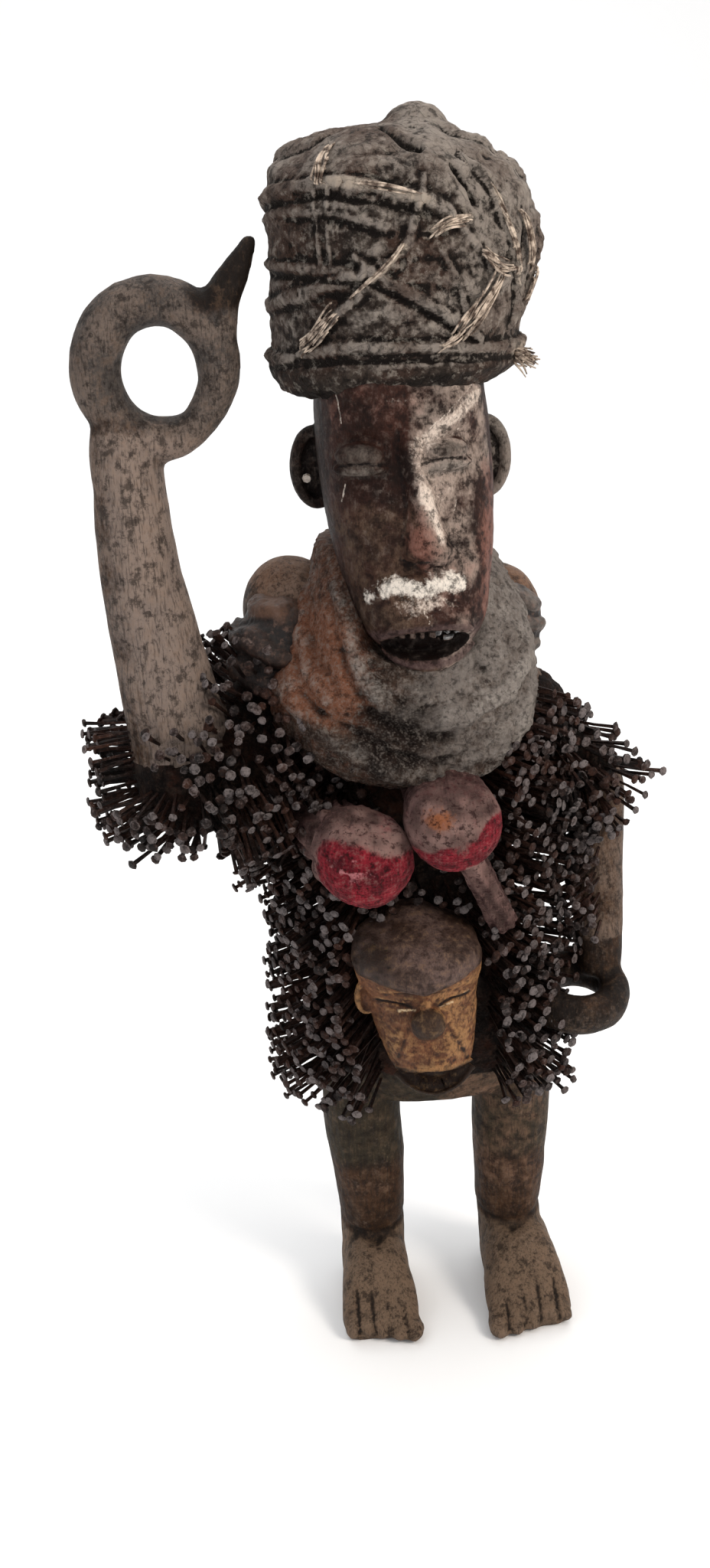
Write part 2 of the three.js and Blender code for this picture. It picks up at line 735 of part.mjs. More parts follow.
// Folded hide that is packed round a shoulder, in front of it
function shoulderHide(hand) {
  const size = hand < 0 ? shoulderWidth * 0.2 : shoulderWidth * 0.13;
  const drop = hipToShoulder * (hand < 0 ? 0.04 : 0.02);
  const centre = V(bodyX - 16 + hand * shoulderWidth * 0.5, -trunkDepth * 0.107, shoulderZ - drop);
  const form = ball(centre, [size, size * 0.95, size * 1.2], { sides: 8, rings: 7 });
  const place = form.attributes.position;
  for (let i = 0; i < place.count; i++) {
    const spot = V(place.getX(i), place.getY(i), place.getZ(i)).sub(centre);
    const fold = 1 + 0.13 * Math.sin((spot.z + 0.4 * spot.x) / (size * 0.14));
    const moved = centre.clone().addScaledVector(spot, fold);
    place.setXYZ(i, moved.x, moved.y, moved.z);
  }
  return [solidOf(form)];
}

// Red cloth bundles that stand out from the chest
const chestRoot = {
  right: V(bodyX - shoulderWidth * 0.477, -trunkDepth * 0.41, hipZ + hipToShoulder * 0.631),
  left: V(bodyX + shoulderWidth * 0.006, -trunkDepth * 0.393, hipZ + hipToShoulder * 0.712),
};

function bundleLimb(hand) {
  const r = bundleAcross / 2;
  const root = hand < 0 ? chestRoot.right : chestRoot.left;
  const way = (hand < 0 ? V(0.4, -0.91, -0.05) : V(0.12, -0.98, -0.14)).normalize();
  const at = (share, wide) => station(root.clone().addScaledVector(way, bundleReach * share), wide);
  return {
    sides: 11,
    steps: 7,
    stations: [
      at(-0.1, r * 0.7),
      at(0.2, r * 0.72),
      at(0.45, r * 0.95),
      at(0.7, r * 1.04),
      at(0.9, r * 0.86),
      at(1, r * 0.3),
    ],
  };
}

function bundleForms(hand) {
  const forms = [solidOf(limbGeometry(bundleLimb(hand)))];
  if (hand > 0) {
    const from = sectionAt(bundleLimb(hand), 0.68).centre;
    const to = from.clone().add(V(bundleAcross * 0.55, bundleAcross * 0.5, -bundleAcross * 1.4));
    const r = bundleAcross * 0.15;
    const stalk = [station(from, r * 1.2), station(between(from, to, 0.5), r), station(to, r * 1.1)];
    forms.push(solidOf(limbGeometry({ sides: 7, steps: 2, stations: stalk })));
  }
  return forms;
}

// Small carved head on the belly: shares of its height from chin to crown
const bellyHead = {
  x: bodyX - hipWidth * 0.093,
  y: -trunkDepth * 0.643,
  z: hipZ + hipToShoulder * 0.1256,
  half: [0.12, 0.29, 0.35, 0.39, 0.42, 0.44, 0.49, 0.5, 0.42, 0.1],
  front: [0.5, 0.62, 0.62, 0.6, 0.58, 0.57, 0.6, 0.58, 0.4, 0.1],
  back: [0.2, -0.05, -0.1, -0.12, -0.12, -0.12, -0.12, -0.12, -0.12, 0],
};

function bellyRelief(x, share) {
  const w = bellyHeadWidth;
  const nose = 14 * Math.sqrt(Math.max(1 - (x / (w * 0.155)) ** 2 - ((share - 0.455) / 0.1) ** 2, 0));
  const capEdge = 0.615 + 0.08 * Math.min(Math.abs(x) / (w * 0.4), 1) ** 2;
  const cap = 5 * Math.min(Math.max((share - capEdge) / 0.03, 0), 1);
  const sockets = -4 * hill(Math.abs(x) - w * 0.22, w * 0.16) * hill(share - 0.57, 0.04);
  const mouth = -7 * hill(x / (w * 0.22), 1) * hill(share - 0.11, 0.035);
  return nose + cap + sockets + mouth;
}

function bellyHeadPoint(share, angle) {
  const half = smooth(bellyHead.half, share) * bellyHeadWidth;
  const front = -smooth(bellyHead.front, share) * bellyHeadWidth;
  const back = -smooth(bellyHead.back, share) * bellyHeadWidth;
  const x = Math.sin(angle) * half;
  const y = (front + back) / 2 + (Math.cos(angle) * (front - back)) / 2;
  const facing = Math.max(Math.cos(angle), 0) ** 0.5;
  const lean = (0.5 - share) * bellyHeadWidth * 0.12; // the chin is set a little to its left
  return V(
    bellyHead.x + x + lean,
    bellyHead.y + y - bellyRelief(x, share) * facing,
    bellyHead.z + share * bellyHeadHeight,
  );
}

// Closed head form from a point function, with closer points on its face
function faceForm(pointAt, levels, sides) {
  const form = new THREE.CylinderGeometry(1, 1, 1, sides, levels.length - 1);
  const place = form.attributes.position;
  for (let i = 0; i < place.count; i++) {
    const level = levels[Math.round((0.5 + place.getY(i)) * (levels.length - 1))];
    const around = Math.atan2(place.getX(i), place.getZ(i));
    const angle = around - 0.45 * Math.sin(around);
    const out = Math.min(Math.hypot(place.getX(i), place.getZ(i)), 1);
    const middle = pointAt(level, 0).lerp(pointAt(level, Math.PI), 0.5);
    const spot = middle.lerp(pointAt(level, angle), out);
    place.setXYZ(i, spot.x, spot.y, spot.z);
  }
  return form;
}

function bellyHeadForms() {
  const levels = [0, 0.07, 0.12, 0.18, 0.3, 0.36, 0.41, 0.46, 0.5, 0.55, 0.61, 0.67, 0.74, 0.88, 1];
  const ear = ball(
    bellyHeadPoint(0.54, -Math.PI * 0.44),
    [bellyHeadWidth * 0.1, bellyHeadWidth * 0.06, bellyHeadWidth * 0.13],
    { sides: 8, rings: 6 },
  );
  return [faceForm(bellyHeadPoint, levels, 12), ear].map(solidOf);
}

// A nail from its root: a square shank and a flared head, along +Y before it is turned
function nailSolid(root, way, length) {
  const [r, head] = [nailShank / 2, nailHead / 2];
  const profile = [
    [0, 0],
    [r, 0],
    [r, length - nailHeadThick],
    [head, length - nailHeadThick * 0.6],
    [0, length],
  ];
  const form = new THREE.LatheGeometry(profile.map(([x, y]) => new THREE.Vector2(x, y)), 4);
  form.applyQuaternion(new THREE.Quaternion().setFromUnitVectors(V(0, 1, 0), way));
  return solidOf(form.translate(root.x, root.y, root.z));
}

// Shortest distance between two nails' middle lines, sampled along both
function nailGap(a, b) {
  let least = Infinity;
  const samples = 6;
  for (let i = 1; i <= samples; i++) {
    const p = a.root.clone().addScaledVector(a.way, (a.length * i) / samples);
    for (let k = 1; k <= samples; k++) {
      const q = b.root.clone().addScaledVector(b.way, (b.length * k) / samples);
      least = Math.min(least, p.distanceTo(q));
    }
  }
  return least;
}

// Crust over whole steps of some limbs, as [limb, first step, last step]
function crustForms(stretches) {
  return stretches
    .map(([limb, first, last]) => limbGeometry(limb, { first, last, swell: crustThick }))
    .map(solidOf);
}

// A crust with the nails that stand in it.
function nailGroup(crust, beds, taken, seed) {
  const random = seeded(seed);
  const driven = [];
  for (const { limb, along, angles, count, lean, reach } of beds) {
    const rows = Math.max(Math.round(Math.sqrt(count * 0.6)), 2);
    const columns = Math.ceil(count / rows);
    for (let n = 0; n < rows * columns; n++) {
      const share = (Math.floor(n / columns) + 0.2 + 0.6 * random()) / rows;
      const turn = ((n % columns) + 0.15 + 0.7 * random()) / columns;
      const t = along[0] + (along[1] - along[0]) * share;
      const angle = angles[0] + (angles[1] - angles[0]) * turn;
      const { point, out } = skinPoint(limb, t, angle, crustThick * 0.3);
      const way = out.clone().addScaledVector(lean, 0.5).normalize();
      const length = nailLength * reach * (0.72 + 0.28 * random());
      const nail = { root: point, way, length };
      const crowded = driven.some((other) => nailGap(nail, other) < nailHead * 1.05);
      if (crowded) continue;
      const solid = nailSolid(point, way, length);
      const free = nailSolid(point.clone().addScaledVector(way, crustThick * 2), way, length);
      const blocked = solid.intersect(taken).volume() > 0 || free.intersect(crust).volume() > 0;
      if (blocked || solid.intersect(crust).volume() <= 0) continue;
      driven.push({ ...nail, solid });
    }
  }
  return mainBody(joined([crust, ...driven.map(({ solid }) => solid)]));
}

function finish(color, roughness, metalness = 0) {
  return new THREE.MeshStandardMaterial({ color, roughness, metalness });
}

const woodMaterial = finish(0x4a3a2e, 0.75);
const turbanMaterial = finish(0x4c443e, 0.9);
const collarMaterial = finish(0x6b5a4a, 0.95);
const clothMaterial = finish(0x8c2332, 0.95);
const smallHeadMaterial = finish(0x86603c, 0.7);
const boneMaterial = finish(0xcfc4bc, 0.5);
const ironMaterial = finish(0x2c2623, 0.7, 0.6);

function named(name, solid, material) {
  const mesh = new THREE.Mesh(geometryOf(solid), material);
  mesh.name = name;
  return mesh;
}

const stud = earStud();
const carved = figureForms();
const figure = carvedFigure(carved, stud);
const rooms = [roomOf(carved)];

// Makes a piece that fits round all the earlier ones, and takes its own room from the later ones
function addPiece(forms) {
  const piece = fitted(forms, rooms);
  rooms.push(roomOf(forms));
  return piece;
}

const cap = addPiece(turbanForms());
const bib = addPiece([solidOf(collarGeometry())]);
const hideRight = addPiece(shoulderHide(-1));
const hideLeft = addPiece(shoulderHide(1));
const trunkCrust = addPiece(crustForms([[trunk, 1, 5]]));
const rightCrust = addPiece(crustForms([[rightUpperLimb, 1, 3], [rightForearmLimb, 0, 2]]));
const leftCrust = addPiece(crustForms([[leftUpperLimb, 1, 3]]));
const bundleRight = addPiece(bundleForms(-1));
const bundleLeft = addPiece(bundleForms(1));
const smallHead = addPiece(bellyHeadForms());
const dressed = [figure, cap, bib, hideRight, hideLeft, bundleRight, bundleLeft, smallHead];
const around = (solids) => joined(solids.map((solid) => grown(solid)));

// Nails by where they stand, which way they lean and the share of their length that shows. Round the
// trunk, -90 degrees is its front, 180 its right side and 0 its left side. Round the right upper arm,
// 90 degrees is its underside.
function bed(limb, along, degrees, count, lean, reach = 1) {
  return { limb, along, angles: degrees.map(THREE.MathUtils.degToRad), count, lean: V(...lean), reach };
}

const trunkNails = nailGroup(
  trunkCrust,
  [
    bed(trunk, [0.12, 0.5], [-178, -125], 14, [-0.3, -0.3, -0.5]),
    bed(trunk, [0.12, 0.5], [-62, -28], 6, [0, -0.8, -0.3]),
    bed(trunk, [0.14, 0.5], [45, 155], 6, [0, 0.3, -0.3]),
  ],
  around([...dressed, rightCrust, leftCrust]),
  11,
);
const rightArmNails = nailGroup(
  rightCrust,
  [
    bed(rightUpperLimb, [0.35, 0.95], [35, 145], 7, [-0.5, -0.2, -0.5]),
    bed(rightUpperLimb, [0.4, 0.95], [150, 390], 9, [-0.1, -0.3, -0.4], 0.9),
    bed(rightForearmLimb, [0.03, 0.3], [90, 290], 6, [-0.1, -0.6, -0.1], 0.85),
  ],
  around([...dressed, trunkNails, leftCrust]),
  5,
);
const leftArmNails = nailGroup(
  leftCrust,
  [bed(leftUpperLimb, [0.35, 0.95], [-180, 180], 16, [0.5, -0.6, -0.9], 0.85)],
  around([...dressed, trunkNails, rightArmNails]),
  7,
);

const pieces = new THREE.Group();
pieces.add(
  named("carved_figure", figure, woodMaterial),
  named("ear_stud", stud, boneMaterial),
  named("turban", cap, turbanMaterial),
  named("resin_collar", bib, collarMaterial),
  named("shoulder_hide_right", hideRight, collarMaterial),
  named("shoulder_hide_left", hideLeft, collarMaterial),
  named("red_bundle_right", bundleRight, clothMaterial),
  named("red_bundle_left", bundleLeft, clothMaterial),
  named("belly_head", smallHead, smallHeadMaterial),
  named("trunk_nails", trunkNails, ironMaterial),
  named("right_arm_nails", rightArmNails, ironMaterial),
  named("left_arm_nails", leftArmNails, ironMaterial),
);

// Centred over the middle of its outline, with the soles on the ground
const box = new THREE.Box3().setFromObject(pieces);
const middle = box.getCenter(new THREE.Vector3());
pieces.position.set(-middle.x, -middle.y, 0);

const power = new THREE.Group();
power.userData.shift = pieces.position.toArray();
power.add(pieces);

export default power;
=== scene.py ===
import itertools
import math

import bpy
import numpy as np
from mathutils import Matrix, Vector


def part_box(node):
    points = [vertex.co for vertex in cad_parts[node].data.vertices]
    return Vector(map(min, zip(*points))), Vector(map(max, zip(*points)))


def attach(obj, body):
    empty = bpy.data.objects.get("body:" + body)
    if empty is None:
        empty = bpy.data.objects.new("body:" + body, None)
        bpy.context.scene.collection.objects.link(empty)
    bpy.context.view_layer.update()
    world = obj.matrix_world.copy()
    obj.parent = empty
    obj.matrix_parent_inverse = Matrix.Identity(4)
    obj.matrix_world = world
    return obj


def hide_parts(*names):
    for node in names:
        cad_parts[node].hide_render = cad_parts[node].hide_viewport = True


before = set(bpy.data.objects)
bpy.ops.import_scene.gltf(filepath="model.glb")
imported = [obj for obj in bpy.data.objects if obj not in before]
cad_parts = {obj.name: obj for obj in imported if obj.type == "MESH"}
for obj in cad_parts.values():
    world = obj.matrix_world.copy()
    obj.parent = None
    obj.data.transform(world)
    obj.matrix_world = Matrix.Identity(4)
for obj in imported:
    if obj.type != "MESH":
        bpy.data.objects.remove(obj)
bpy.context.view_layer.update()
mm = 0.001

# the turban's own middle tells where the figure stands in the frame
turbanLow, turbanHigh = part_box("turban")
turbanMiddle = (5.313, -3.731)  # mm from the point between the feet
standing = np.array([
    (turbanLow[0] + turbanHigh[0]) / 2 - turbanMiddle[0] * mm,
    (turbanLow[1] + turbanHigh[1]) / 2 - turbanMiddle[1] * mm,
    0.0,
])
print("frame loaded, figure stands at", standing.round(4))


# Camera, as the photograph was taken: close by, above the head, looking down
photoView = {
    "distance": 1.30,  # metres from the figure
    "height": 0.95,
    "azimuth": -5.0,
    "yaw": 2.0,
    "pitch": 20.8,
    "roll": -3.3,
    "focalPixels": 2334,
    "sensor": 36,
    "pictureHeight": 2048,
}


def placeCamera(view):
    azimuth, pitch, roll = (math.radians(view[key]) for key in ("azimuth", "pitch", "roll"))
    heading = azimuth + math.radians(view["yaw"])
    away, level = view["distance"], math.cos(pitch)
    spot = Vector((away * math.sin(azimuth), -away * math.cos(azimuth), view["height"]))
    forward = Vector((-math.sin(heading) * level, math.cos(heading) * level, -math.sin(pitch)))
    right = forward.cross(Vector((0, 0, 1))).normalized()
    up = right.cross(forward)
    turnedRight = right * math.cos(roll) + up * math.sin(roll)
    turnedUp = up * math.cos(roll) - right * math.sin(roll)
    lens = bpy.data.cameras.new("photoCamera")
    lens.sensor_width = view["sensor"]
    lens.lens = view["focalPixels"] * lens.sensor_width / view["pictureHeight"]
    camera = bpy.data.objects.new("photoCamera", lens)
    bpy.context.scene.collection.objects.link(camera)
    pose = Matrix((turnedRight, turnedUp, -forward)).transposed().to_4x4()
    pose.translation = spot + Vector(standing)
    camera.matrix_world = pose
    bpy.context.scene.camera = camera


placeCamera(photoView)


# Studio: a white sweep, a wide roof light over it and one soft key from the right
studio = {
    "sweepColour": "#fcfcfc",
    "sweepFloor": [-14.0, -2.0, 1.2, 3.4],  # metres, front to back
    "sweepCurve": 2.2,
    "sweepTop": 9.0,
    "sweepSide": 12.0,
    "roomColour": "#ffffff",
    "roomStrength": 0.5,
    "lamps": [
        # name, place, size, watts, colour
        ("keyLamp", (1.7, -1.5, 1.9), 0.9, 42, "#fff6ec"),
        ("fillLamp", (-1.7, -1.3, 1.3), 1.4, 7, "#f2f6ff"),
        ("roofLamp", (0.0, 1.4, 4.8), 7.0, 230, "#ffffff"),
    ],
}


def linearColour(hexColour):
    channels = [int(hexColour[i:i + 2], 16) / 255 for i in (1, 3, 5)]
    return [c / 12.92 if c <= 0.04045 else ((c + 0.055) / 1.055) ** 2.4 for c in channels] + [1.0]


def addNode(tree, kind, sockets=None, **settings):
    node = tree.nodes.new("ShaderNode" + kind)
    for key, value in settings.items():
        setattr(node, key, value)
    for key, value in (sockets or {}).items():
        if isinstance(value, bpy.types.NodeSocket):
            tree.links.new(value, node.inputs[key])
        elif isinstance(value, str):
            node.inputs[key].default_value = linearColour(value)
        else:
            node.inputs[key].default_value = value
    return node


def newMaterial(name, sockets):
    material = bpy.data.materials.new(name)
    material.use_nodes = True
    tree = material.node_tree
    tree.nodes.clear()
    shader = addNode(tree, "BsdfPrincipled", sockets)
    output = addNode(tree, "OutputMaterial")
    tree.links.new(shader.outputs[0], output.inputs[0])
    return material, tree, shader


def makeMesh(name, points, faces, material, smoothShade=True):
    mesh = bpy.data.meshes.new(name)
    mesh.from_pydata((np.asarray(points) * mm + standing).tolist(), [], faces)
    mesh.materials.append(material)
    mesh.polygons.foreach_set("use_smooth", np.full(len(mesh.polygons), smoothShade))
    mesh.update()
    piece = bpy.data.objects.new(name, mesh)
    bpy.context.scene.collection.objects.link(piece)
    return piece


def buildStudio(look):
    # floor that rises into a wall behind the figure in one soft curve
    back, curve = look["sweepFloor"][-1], look["sweepCurve"]
    profile = [(y, 0.0) for y in look["sweepFloor"]]
    for a in np.linspace(0.15, math.pi / 2, 10):
        profile.append((back + curve * math.sin(a), curve - curve * math.cos(a)))
    profile.append((back + curve, look["sweepTop"]))
    points = [(x, y, z) for y, z in profile for x in (-look["sweepSide"], look["sweepSide"])]
    faces = [(2 * i, 2 * i + 1, 2 * i + 3, 2 * i + 2) for i in range(len(profile) - 1)]
    # matt paper sweep: even, with a faint tooth
    finish = {"Base Color": look["sweepColour"], "Roughness": 0.95}
    paper, tree, shader = newMaterial("mattPaperSweep", finish)
    tooth = addNode(tree, "TexNoise", {"Scale": 900.0, "Detail": 2.0})
    bump = addNode(tree, "Bump", {"Height": tooth.outputs["Fac"], "Strength": 0.05, "Distance": 0.0004})
    tree.links.new(bump.outputs[0], shader.inputs["Normal"])
    sweep = makeMesh("paperSweep", (np.array(points) - standing) / mm, faces, paper)
    world = bpy.data.worlds.new("studioRoom")
    world.use_nodes = True
    room = world.node_tree.nodes["Background"]
    room.inputs["Color"].default_value = linearColour(look["roomColour"])
    room.inputs["Strength"].default_value = look["roomStrength"]
    bpy.context.scene.world = world
    for name, place, size, watts, colour in look["lamps"]:
        light = bpy.data.lights.new(name, "AREA")
        light.size, light.energy, light.color = size, watts, linearColour(colour)[:3]
        lamp = bpy.data.objects.new(name, light)
        lamp.location = place
        lamp.rotation_euler = (Vector((0, 0, 0.5)) - lamp.location).to_track_quat("-Z", "Y").to_euler()
        bpy.context.scene.collection.objects.link(lamp)
    bpy.context.scene.view_settings.view_transform = "Standard"


buildStudio(studio)
print("camera and studio ready")


# Tools for shapes, all in millimetres from the point between the feet
def smooth(values, t):
    # soft curve through evenly spaced values
    values = np.asarray(values, float)
    last = len(values) - 1
    place = np.clip(np.asarray(t, float), 0, 1) * last
    i = np.minimum(place.astype(int), last - 1)
    f = place - i
    if values.ndim > 1:
        f = f[..., None]
    a, b, c, d = values[np.maximum(i - 1, 0)], values[i], values[i + 1], values[np.minimum(i + 2, last)]
    return b + 0.5 * f * (c - a + f * (2 * a - 5 * b + 4 * c - d + f * (3 * (b - c) + d - a)))


def hill(distance, reach):
    return np.exp(-((distance / reach) ** 2))


def ramp(value, low, high):
    t = np.clip((value - low) / (high - low), 0, 1)
    return t * t * (3 - 2 * t)


def ovalPatch(x, z, middle, reach):
    # 1 in the middle of a soft oval, 0 well outside it
    return hill(np.hypot((x - middle[0]) / reach[0], (z - middle[1]) / reach[1]), 1)


def signedPower(value, power):
    return np.sign(value) * np.abs(value) ** power


def unit(vectors):
    vectors = np.asarray(vectors, float)
    return vectors / np.maximum(np.linalg.norm(vectors, axis=-1, keepdims=True), 1e-9)


def scramble(cell, seed):
    # repeatable value from -1 to 1 for each whole-numbered cell
    key = cell[..., 0] * 73856093 ^ cell[..., 1] * 19349663 ^ cell[..., 2] * 83492791 ^ seed * 2654435761
    key = (key ^ (key >> 15)) * 2246822519 & 0xFFFFFFFF
    key = (key ^ (key >> 13)) * 3266489917 & 0xFFFFFFFF
    return ((key ^ (key >> 16)) & 0xFFFF) / 32767.5 - 1


def lumps(points, size, seed=1, layers=1):
    # soft uneven noise from -1 to 1 with lumps about size mm across
    total, weight, weights = 0, 1, 0
    for layer in range(layers):
        spot = points / (size / 2 ** layer) + 31.7 * layer + 0.37 * seed
        cell = np.floor(spot).astype(np.int64)
        part = spot - cell
        part = part * part * (3 - 2 * part)
        value = 0
        for corner in itertools.product((0, 1), repeat=3):
            share = np.prod(np.where(corner, part, 1 - part), axis=-1)
            value = value + share * scramble(cell + corner, seed + layer)
        total = total + value * weight
        weights += weight
        weight *= 0.5
    return total / weights


def grains(points, size, seed=1):
    # distances to the nearest and next grain centre, in grain widths
    spot = points / size
    cell = np.floor(spot).astype(np.int64)
    near = np.full(spot.shape[:-1], 9.0)
    second = near.copy()
    for step in itertools.product((-1, 0, 1), repeat=3):
        other = cell + step
        centre = other + 0.5 + 0.4 * np.stack([scramble(other, seed + k) for k in range(3)], axis=-1)
        gap = np.linalg.norm(spot - centre, axis=-1)
        second = np.minimum(second, np.maximum(near, gap))
        near = np.minimum(near, gap)
    return near, second


def limbFrame(limb, t):
    # middle, directions across and deep, and half sizes of a limb at share t of its length
    stations = np.array(limb["stations"], float)
    row = smooth(stations, t)
    if limb.get("level"):
        along = np.broadcast_to(np.array([0.0, 0.0, 1.0]), row[..., :3].shape)
    else:
        spine, step = stations[:, :3], 0.02
        along = unit(smooth(spine, np.minimum(t + step, 1)) - smooth(spine, np.maximum(t - step, 0)))
    side = np.array(limb.get("side", (1.0, 0.0, 0.0)))
    across = unit(side - along * (along @ side)[..., None])
    wide, thick = np.maximum(row[..., 3], 0.5), np.maximum(row[..., 4], 0.5)
    return row[..., :3], across, np.cross(along, across), wide, thick


def limbSkin(limb, t, angle, swell=0.0):
    # points on a limb's skin and the way out of it
    t, angle = np.broadcast_arrays(np.asarray(t, float), np.asarray(angle, float))
    centre, across, deep, wide, thick = limbFrame(limb, t)
    power = 2 / limb.get("boxy", 2)
    c, d = signedPower(np.cos(angle), power), signedPower(np.sin(angle), power)
    wide, thick = wide + swell, thick + swell
    point = centre + across * (c * wide)[..., None] + deep * (d * thick)[..., None]
    out = unit(across * (np.cos(angle) / wide)[..., None] + deep * (np.sin(angle) / thick)[..., None])
    return point, out


def station(point, wide, deep=None):
    # place and half sizes of one section of a limb
    return [*point, wide, wide if deep is None else deep]


def between(a, b, share):
    return np.asarray(a) + (np.asarray(b) - np.asarray(a)) * share


def fullTurn(count):
    # evenly spaced angles once round
    return np.linspace(0, 2 * math.pi, count, endpoint=False)


def ballWays(sides, rings):
    # ways out from the middle of a ball, ring by ring
    angle = fullTurn(sides)
    rise = np.linspace(-math.pi / 2, math.pi / 2, rings)[1:-1, None]
    level = np.cos(rise)
    return np.stack([level * np.cos(angle), level * np.sin(angle), np.sin(rise) + 0 * angle], -1)


def tubeForm(rings):
    # closed form from rings of points, each ring running round it
    rows, columns, _ = rings.shape
    points = np.concatenate([rings.reshape(-1, 3), rings[:1].mean(axis=1), rings[-1:].mean(axis=1)])
    i, j = np.meshgrid(np.arange(rows - 1), np.arange(columns), indexing="ij")
    k = (j + 1) % columns
    quads = np.stack([i * columns + j, i * columns + k, (i + 1) * columns + k, (i + 1) * columns + j], -1)
    first, last = rows * columns, rows * columns + 1
    ends = [(first, (j + 1) % columns, j) for j in range(columns)]
    base = (rows - 1) * columns
    ends += [(last, base + j, base + (j + 1) % columns) for j in range(columns)]
    return points, quads.reshape(-1, 4).tolist() + ends


def limbForm(limb, sides=40, steps=50):
    return tubeForm(limbSkin(limb, np.linspace(0, 1, steps)[:, None], fullTurn(sides))[0])


def turned(points, turn):
    x, y, z = turn  # same order of turns as the drawings: x, then y, then z
    rotation = Matrix.Rotation(x, 3, "X") @ Matrix.Rotation(y, 3, "Y") @ Matrix.Rotation(z, 3, "Z")
    return points @ np.array(rotation).T


def ballForm(centre, radii, turn=(0, 0, 0), sides=32, rings=22):
    return tubeForm(turned(ballWays(sides, rings) * radii, turn) + np.asarray(centre))


def ringForm(centre, across, high, thick, deep, turn, swell=None, sides=24, steps=72):
    # oval ring, such as a fist bored for a staff
    around = fullTurn(steps)[:, None]
    tube = fullTurn(sides)
    fat = swell(around) if swell else 1.0
    reach = np.cos(tube) * fat * thick / 2
    shape = np.stack([
        np.cos(around) * ((across - thick) / 2 + reach),
        np.sin(around) * ((high - thick) / 2 + reach),
        np.sin(tube) * fat * deep / 2 + 0 * around,
    ], -1)
    points = turned(shape, turn).reshape(-1, 3) + np.asarray(centre)
    i, j = np.meshgrid(np.arange(steps), np.arange(sides), indexing="ij")
    k, m = (i + 1) % steps, (j + 1) % sides
    quads = np.stack([i * sides + j, k * sides + j, k * sides + m, i * sides + m], -1)
    return points, quads.reshape(-1, 4).tolist()


def joinForms(forms):
    points, faces, start = [], [], 0
    for formPoints, formFaces in forms:
        points.append(formPoints)
        faces += [tuple(start + i for i in face) for face in formFaces]
        start += len(formPoints)
    return np.concatenate(points), faces


def readPoints(piece):
    flat = np.empty(len(piece.data.vertices) * 3)
    piece.data.vertices.foreach_get("co", flat)
    return (flat.reshape(-1, 3) - standing) / mm


def writePoints(piece, points):
    piece.data.vertices.foreach_set("co", (points * mm + standing).ravel())
    piece.data.update()


def normalsOf(piece):
    flat = np.empty(len(piece.data.vertices) * 3)
    piece.data.vertex_normals.foreach_get("vector", flat)
    return flat.reshape(-1, 3)


def relaxed(piece, points, rounds, share=1.0):
    # each point moves towards the middle of its neighbours
    ends = np.empty(len(piece.data.edges) * 2, int)
    piece.data.edges.foreach_get("vertices", ends)
    a, b = ends.reshape(-1, 2).T
    size = len(points)
    count = np.bincount(ends, minlength=size)[:, None]
    for _ in range(rounds):
        sums = [np.bincount(a, points[b, k], size) + np.bincount(b, points[a, k], size) for k in range(3)]
        points = points + (np.stack(sums, -1) / count - points) * share
    return points


def evened(piece, rounds, share=0.5):
    writePoints(piece, relaxed(piece, readPoints(piece), rounds, share))


def carvedTogether(name, forms, voxel, material, rounds=2):
    # one skin over all the forms, as if cut from one block
    rough = makeMesh(name + "Rough", *joinForms(forms), material)
    # voxel is the size of a step of the skin in mm
    skin = rough.modifiers.new("skin", "REMESH")
    skin.mode, skin.voxel_size, skin.use_smooth_shade = "VOXEL", voxel * mm, True
    mesh = bpy.data.meshes.new_from_object(rough.evaluated_get(bpy.context.evaluated_depsgraph_get()))
    mesh.name = name
    piece = bpy.data.objects.new(name, mesh)
    bpy.context.scene.collection.objects.link(piece)
    bpy.data.meshes.remove(rough.data)
    evened(piece, rounds)
    return piece


def setMask(piece, name, values):
    layer = piece.data.attributes.new(name, "FLOAT", "POINT")
    values = np.broadcast_to(values, len(piece.data.vertices))
    layer.data.foreach_set("value", np.clip(values, 0, 1).astype(np.float32))


def setTubeMasks(piece, shape, masks):
    # the two end points of a tube form come last and get none
    for name, values in masks.items():
        setMask(piece, name, np.append(np.broadcast_to(values, shape).ravel(), [0, 0]))


def hollows(piece, reach):
    # 1 in hollows and 0 on ridges, from how far the skin lies under its own average
    points = readPoints(piece)
    soft = relaxed(piece, points, 8)
    return 0.5 + ((soft - points) * normalsOf(piece)).sum(-1) / (2 * reach)


# Looks shared by several finishes
def layeredColour(tree, place, base, layers):
    # lays patches of colour on each other, each where its mask is high and with a broken edge
    colour = base
    for mask, tint, grain, softness, strength in layers:
        speckle = addNode(tree, "TexNoise", {
            "Vector": place, "Scale": 1000 / grain, "Detail": 5.0, "Roughness": 0.65,
        })
        amount = addNode(tree, "Attribute", attribute_name=mask)
        broken = addNode(tree, "Math", {0: amount.outputs["Fac"], 1: speckle.outputs["Fac"]}, operation="ADD")
        edge = addNode(tree, "MapRange", {
            "Value": broken.outputs[0], "From Min": 1 - softness, "From Max": 1 + softness,
            "To Max": strength,
        }, interpolation_type="SMOOTHSTEP")
        colour = addNode(tree, "Mix", {0: edge.outputs[0], 6: colour, 7: tint}, data_type="RGBA").outputs[2]
    return colour


def mottled(tree, place, dark, light, size, low=0.35, high=0.65):
    # two tones that drift into each other over about size mm
    noise = addNode(tree, "TexNoise", {
        "Vector": place, "Scale": 1000 / size, "Detail": 6.0, "Roughness": 0.6,
    })
    spread = addNode(tree, "MapRange", {"Value": noise.outputs["Fac"], "From Min": low, "From Max": high})
    return addNode(tree, "Mix", {0: spread.outputs[0], 6: dark, 7: light}, data_type="RGBA").outputs[2]


